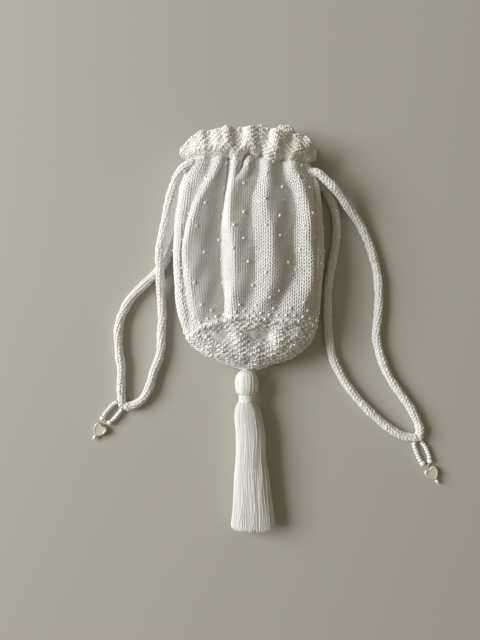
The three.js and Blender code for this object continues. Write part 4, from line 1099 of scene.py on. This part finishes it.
parts = []
boxes = cells(8)
for k, y in enumerate(np.linspace(-40.6, -44.4, 6)):
    a = np.linspace(0, 2 * np.pi, 41)
    r = 4.5 + 0.1 * math.sin(k * 2.1)
    tilt = 0.25 * math.sin(k * 1.7)
    ring = np.stack([HX + 0.1 + r * np.cos(a), y + tilt * np.cos(a + k), TZ - 0.1 + r * np.sin(a)], 1)
    parts.append(sweep(ring, unit(ring - np.array([HX + 0.1, y, TZ - 0.1])), 0.45, 7, boxes[k], closed_ends=False))
o = build("tassel_wrap", parts, TASSELM)
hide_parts("tassel_neck_wrap")
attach(o, "tassel")

# hanging thread inside the head
parts = [strand([(TX, -27.2, TZ), (TX, -29.0, TZ), (TX, -31.4, TZ)], 0.8, (0, 0, 1, 1), sides=10, step=0.5)]
o = build("tassel_hanging_yarn", parts, THREADM)
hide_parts("tassel_hanging_thread")
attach(o, "tassel")

# the knot between the tip of the bag and the head: a few strands drawn together
parts = []
boxes = cells(12)
for k in range(9):
    a = 2 * np.pi * k / 9
    pts = [(HX + 2.6 * math.cos(a), -22.6, TZ + 2.6 * math.sin(a)), (HX + 2.1 * math.cos(a + 0.15), -24.4, TZ + 2.1 * math.sin(a + 0.15)), (HX + 1.8 * math.cos(a + 0.3), -25.8, TZ + 1.8 * math.sin(a + 0.3)), (HX + 1.9 * math.cos(a + 0.35), -27.0, TZ + 1.9 * math.sin(a + 0.35))]
    parts.append(strand(pts, 0.55, boxes[k], step=0.5))
parts.append(ball((HX, -25.0, TZ), 1.9, boxes[10]))
o = build("tassel_knot", parts, THREADM)
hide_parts("tassel_hanger_knot")
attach(o, "tassel_hanger")

SKIRT = np.array([
  [-42.5, -0.4, 3.9, 3.8, 8.1], [-44.3, -.4, 4.6, 4.4, 8.0], [-46.5, -.3, 6.1, 5.2, 7.7], [-49.5, .1, 7.5, 5.8, 7.3], [-56.3, .8, 8.4, 6.3, 7.0],
  [-67.6, 2.1, 8.8, 6.4, 6.9], [-77.5, 2.1, 8.9, 6.4, 6.9], [-89, 2.5, 10.3, 6.3, 6.8], [-100.3, 3, 11.2, 6.2, 6.7],
  [-113, 3.5, 12.5, 6.0, 6.5], [-120.5, 3.5, 13.3, 5.8, 6.3], [-125.2, 3.5, 13.4, 5.7, 6.2]])
skirt_at = pchip(-SKIRT[:, 0], SKIRT[:, 1:])


def skirt_line(a, rho, end, wave, phase, drift=0.0, lift=0.0, n=30):
    y = np.linspace(-42.5, end, n)
    f = (y + 42.5) / (end + 42.5)
    p = skirt_at(-y)
    ang = a + wave * np.sin(f * 5.0 + phase) * f + 0.6 * wave * np.sin(f * 13.0 + 2 * phase) + drift * (f - 0.3)
    rr = rho + 0.02 * np.sin(f * 9.0 + 3 * phase) + lift * np.sin(np.pi * np.clip(f, 0, 1))
    z = p[:, 3] + p[:, 2] * rr * np.sin(ang)
    return np.stack([p[:, 0] + p[:, 1] * rr * np.cos(ang), y, np.maximum(z, 0.55)], 1)


for name, count, rho, r, seed in (("outer", 190, 0.985, 0.36, 31), ("inner", 130, 0.935, 0.40, 32)):
    g = np.random.default_rng(seed)
    boxes = cells(count + 12, 0.001)
    parts = []
    for k in range(count):
        a = 2 * np.pi * (k + g.uniform(-0.25, 0.25)) / count
        end = -122.9 + g.normal(0, 0.4) + (0.7 if name == "inner" else 0.0)
        C = smooth_line(skirt_line(a, rho + g.normal(0, 0.007), end, 0.022 * g.uniform(0.3, 1.5), g.uniform(0, 6.3)), 1.6, extra=6)
        _, nn, _ = frames(C)
        parts.append(sweep(C, nn, r * g.uniform(0.9, 1.1), 6, boxes[k]))
    if name == "outer":
        # a few strands that lie across the others
        for k, (a, drift, e) in enumerate(((1.15, 0.75, -123.0), (1.35, 0.55, -124.0), (1.55, -0.25, -123.8), (1.9, 0.5, -123.2), (0.8, 0.5, -123.0), (2.3, -0.4, -122.8))):
            C = smooth_line(skirt_line(a, 1.005, e, 0.04, k * 1.3, drift, 0.015), 1.4, extra=6)
            _, nn, _ = frames(C)
            parts.append(sweep(C, nn, 0.34, 6, boxes[count + k]))
    else:
        # strands that end inside the skirt's end
        inside = 240
        more = cells(inside, 0.0005)
        for k in range(inside):
            a, rho2 = k * 2.39996, 0.9 * math.sqrt((k + 0.5) / inside)
            C = skirt_line(a, rho2, -122.4 + g.normal(0, 0.45), 0.02, g.uniform(0, 6.3))[-6:]
            C[:, :2] += g.normal(0, 0.15, 2)
            _, nn, _ = frames(C)
            u0, v0, u1, v1 = more[k]
            x0, y0, x1, y1 = boxes[count + 1]
            parts.append(sweep(C, nn, 0.46 * g.uniform(0.85, 1.15), 6, (x0 + (x1 - x0) * u0, y0 + (y1 - y0) * v0, x0 + (x1 - x0) * u1, y0 + (y1 - y0) * v1)))
        y = np.linspace(-43, -115.0, 40)
        p = skirt_at(-y)
        a = (np.arange(30) / 30 * 2 * np.pi)[None]
        P = np.stack([p[:, 0:1] + 0.895 * p[:, 1:2] * np.cos(a), np.broadcast_to(y[:, None], (40, 30)), p[:, 3:4] + 0.895 * p[:, 2:3] * np.sin(a)], -1)
        P = np.concatenate([P.mean(1, keepdims=True)[:1] + 0 * P[:1], P, P.mean(1, keepdims=True)[-1:] + 0 * P[:1]])
        parts.append(grid_part(P, True, boxes[count], (80, 20)))
    o = build(f"tassel_skirt_{name}", parts, TASSELM)
    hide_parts("tassel_skirt")
    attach(o, "tassel")

# ------------------------------------------------------------------ stage and light
fm = bpy.data.meshes.new("floor")
fm.from_pydata([(-3, -3, 0), (3, -3, 0), (3, 3, 0), (-3, 3, 0)], [], [(0, 1, 2, 3)])
floor = link(bpy.data.objects.new("floor", fm))
floor.location.z = -0.0003
mat, nt, b = new_mat("pale_floor")
noise = nt.nodes.new("ShaderNodeTexNoise")
noise.inputs["Scale"].default_value = 4.0
ramp = nt.nodes.new("ShaderNodeValToRGB")
ramp.color_ramp.elements[0].color = (0.45, 0.43, 0.39, 1)
ramp.color_ramp.elements[1].color = (0.48, 0.46, 0.42, 1)
nt.links.new(noise.outputs["Fac"], ramp.inputs["Fac"])
nt.links.new(ramp.outputs["Color"], b.inputs["Base Color"])
b.inputs["Roughness"].default_value = 0.8
floor.data.materials.append(mat)


def area(name, loc, target, size, power, colour):
    d = bpy.data.lights.new(name, "AREA")
    d.shape = "RECTANGLE"
    d.size, d.size_y = size
    d.energy = power
    d.color = colour
    o = link(bpy.data.objects.new(name, d))
    o.location = loc
    v = np.array(target) - np.array(loc)
    o.rotation_euler = (math.atan2(math.hypot(v[0], v[1]), -v[2]), 0, math.atan2(v[1], v[0]) - math.pi / 2)
    return o


area("window", (-1.52, 0.34, 0.94), (0.0, 0.03, 0.0), (1.1, 0.95), 41.5, (0.985, 0.992, 1.0))
area("fill", (0.3, -0.2, 1.8), (0.0, 0.0, 0.0), (1.6, 1.6), 2.7, (1.0, 0.86, 0.57))
world = bpy.data.worlds.new("studio")
bpy.context.scene.world = world
world.use_nodes = True
world.node_tree.nodes["Background"].inputs[0].default_value = (1.0, 0.87, 0.59, 1)
world.node_tree.nodes["Background"].inputs[1].default_value = 0.15
bpy.context.scene.view_settings.view_transform = "Standard"

bpy.context.view_layer.update()
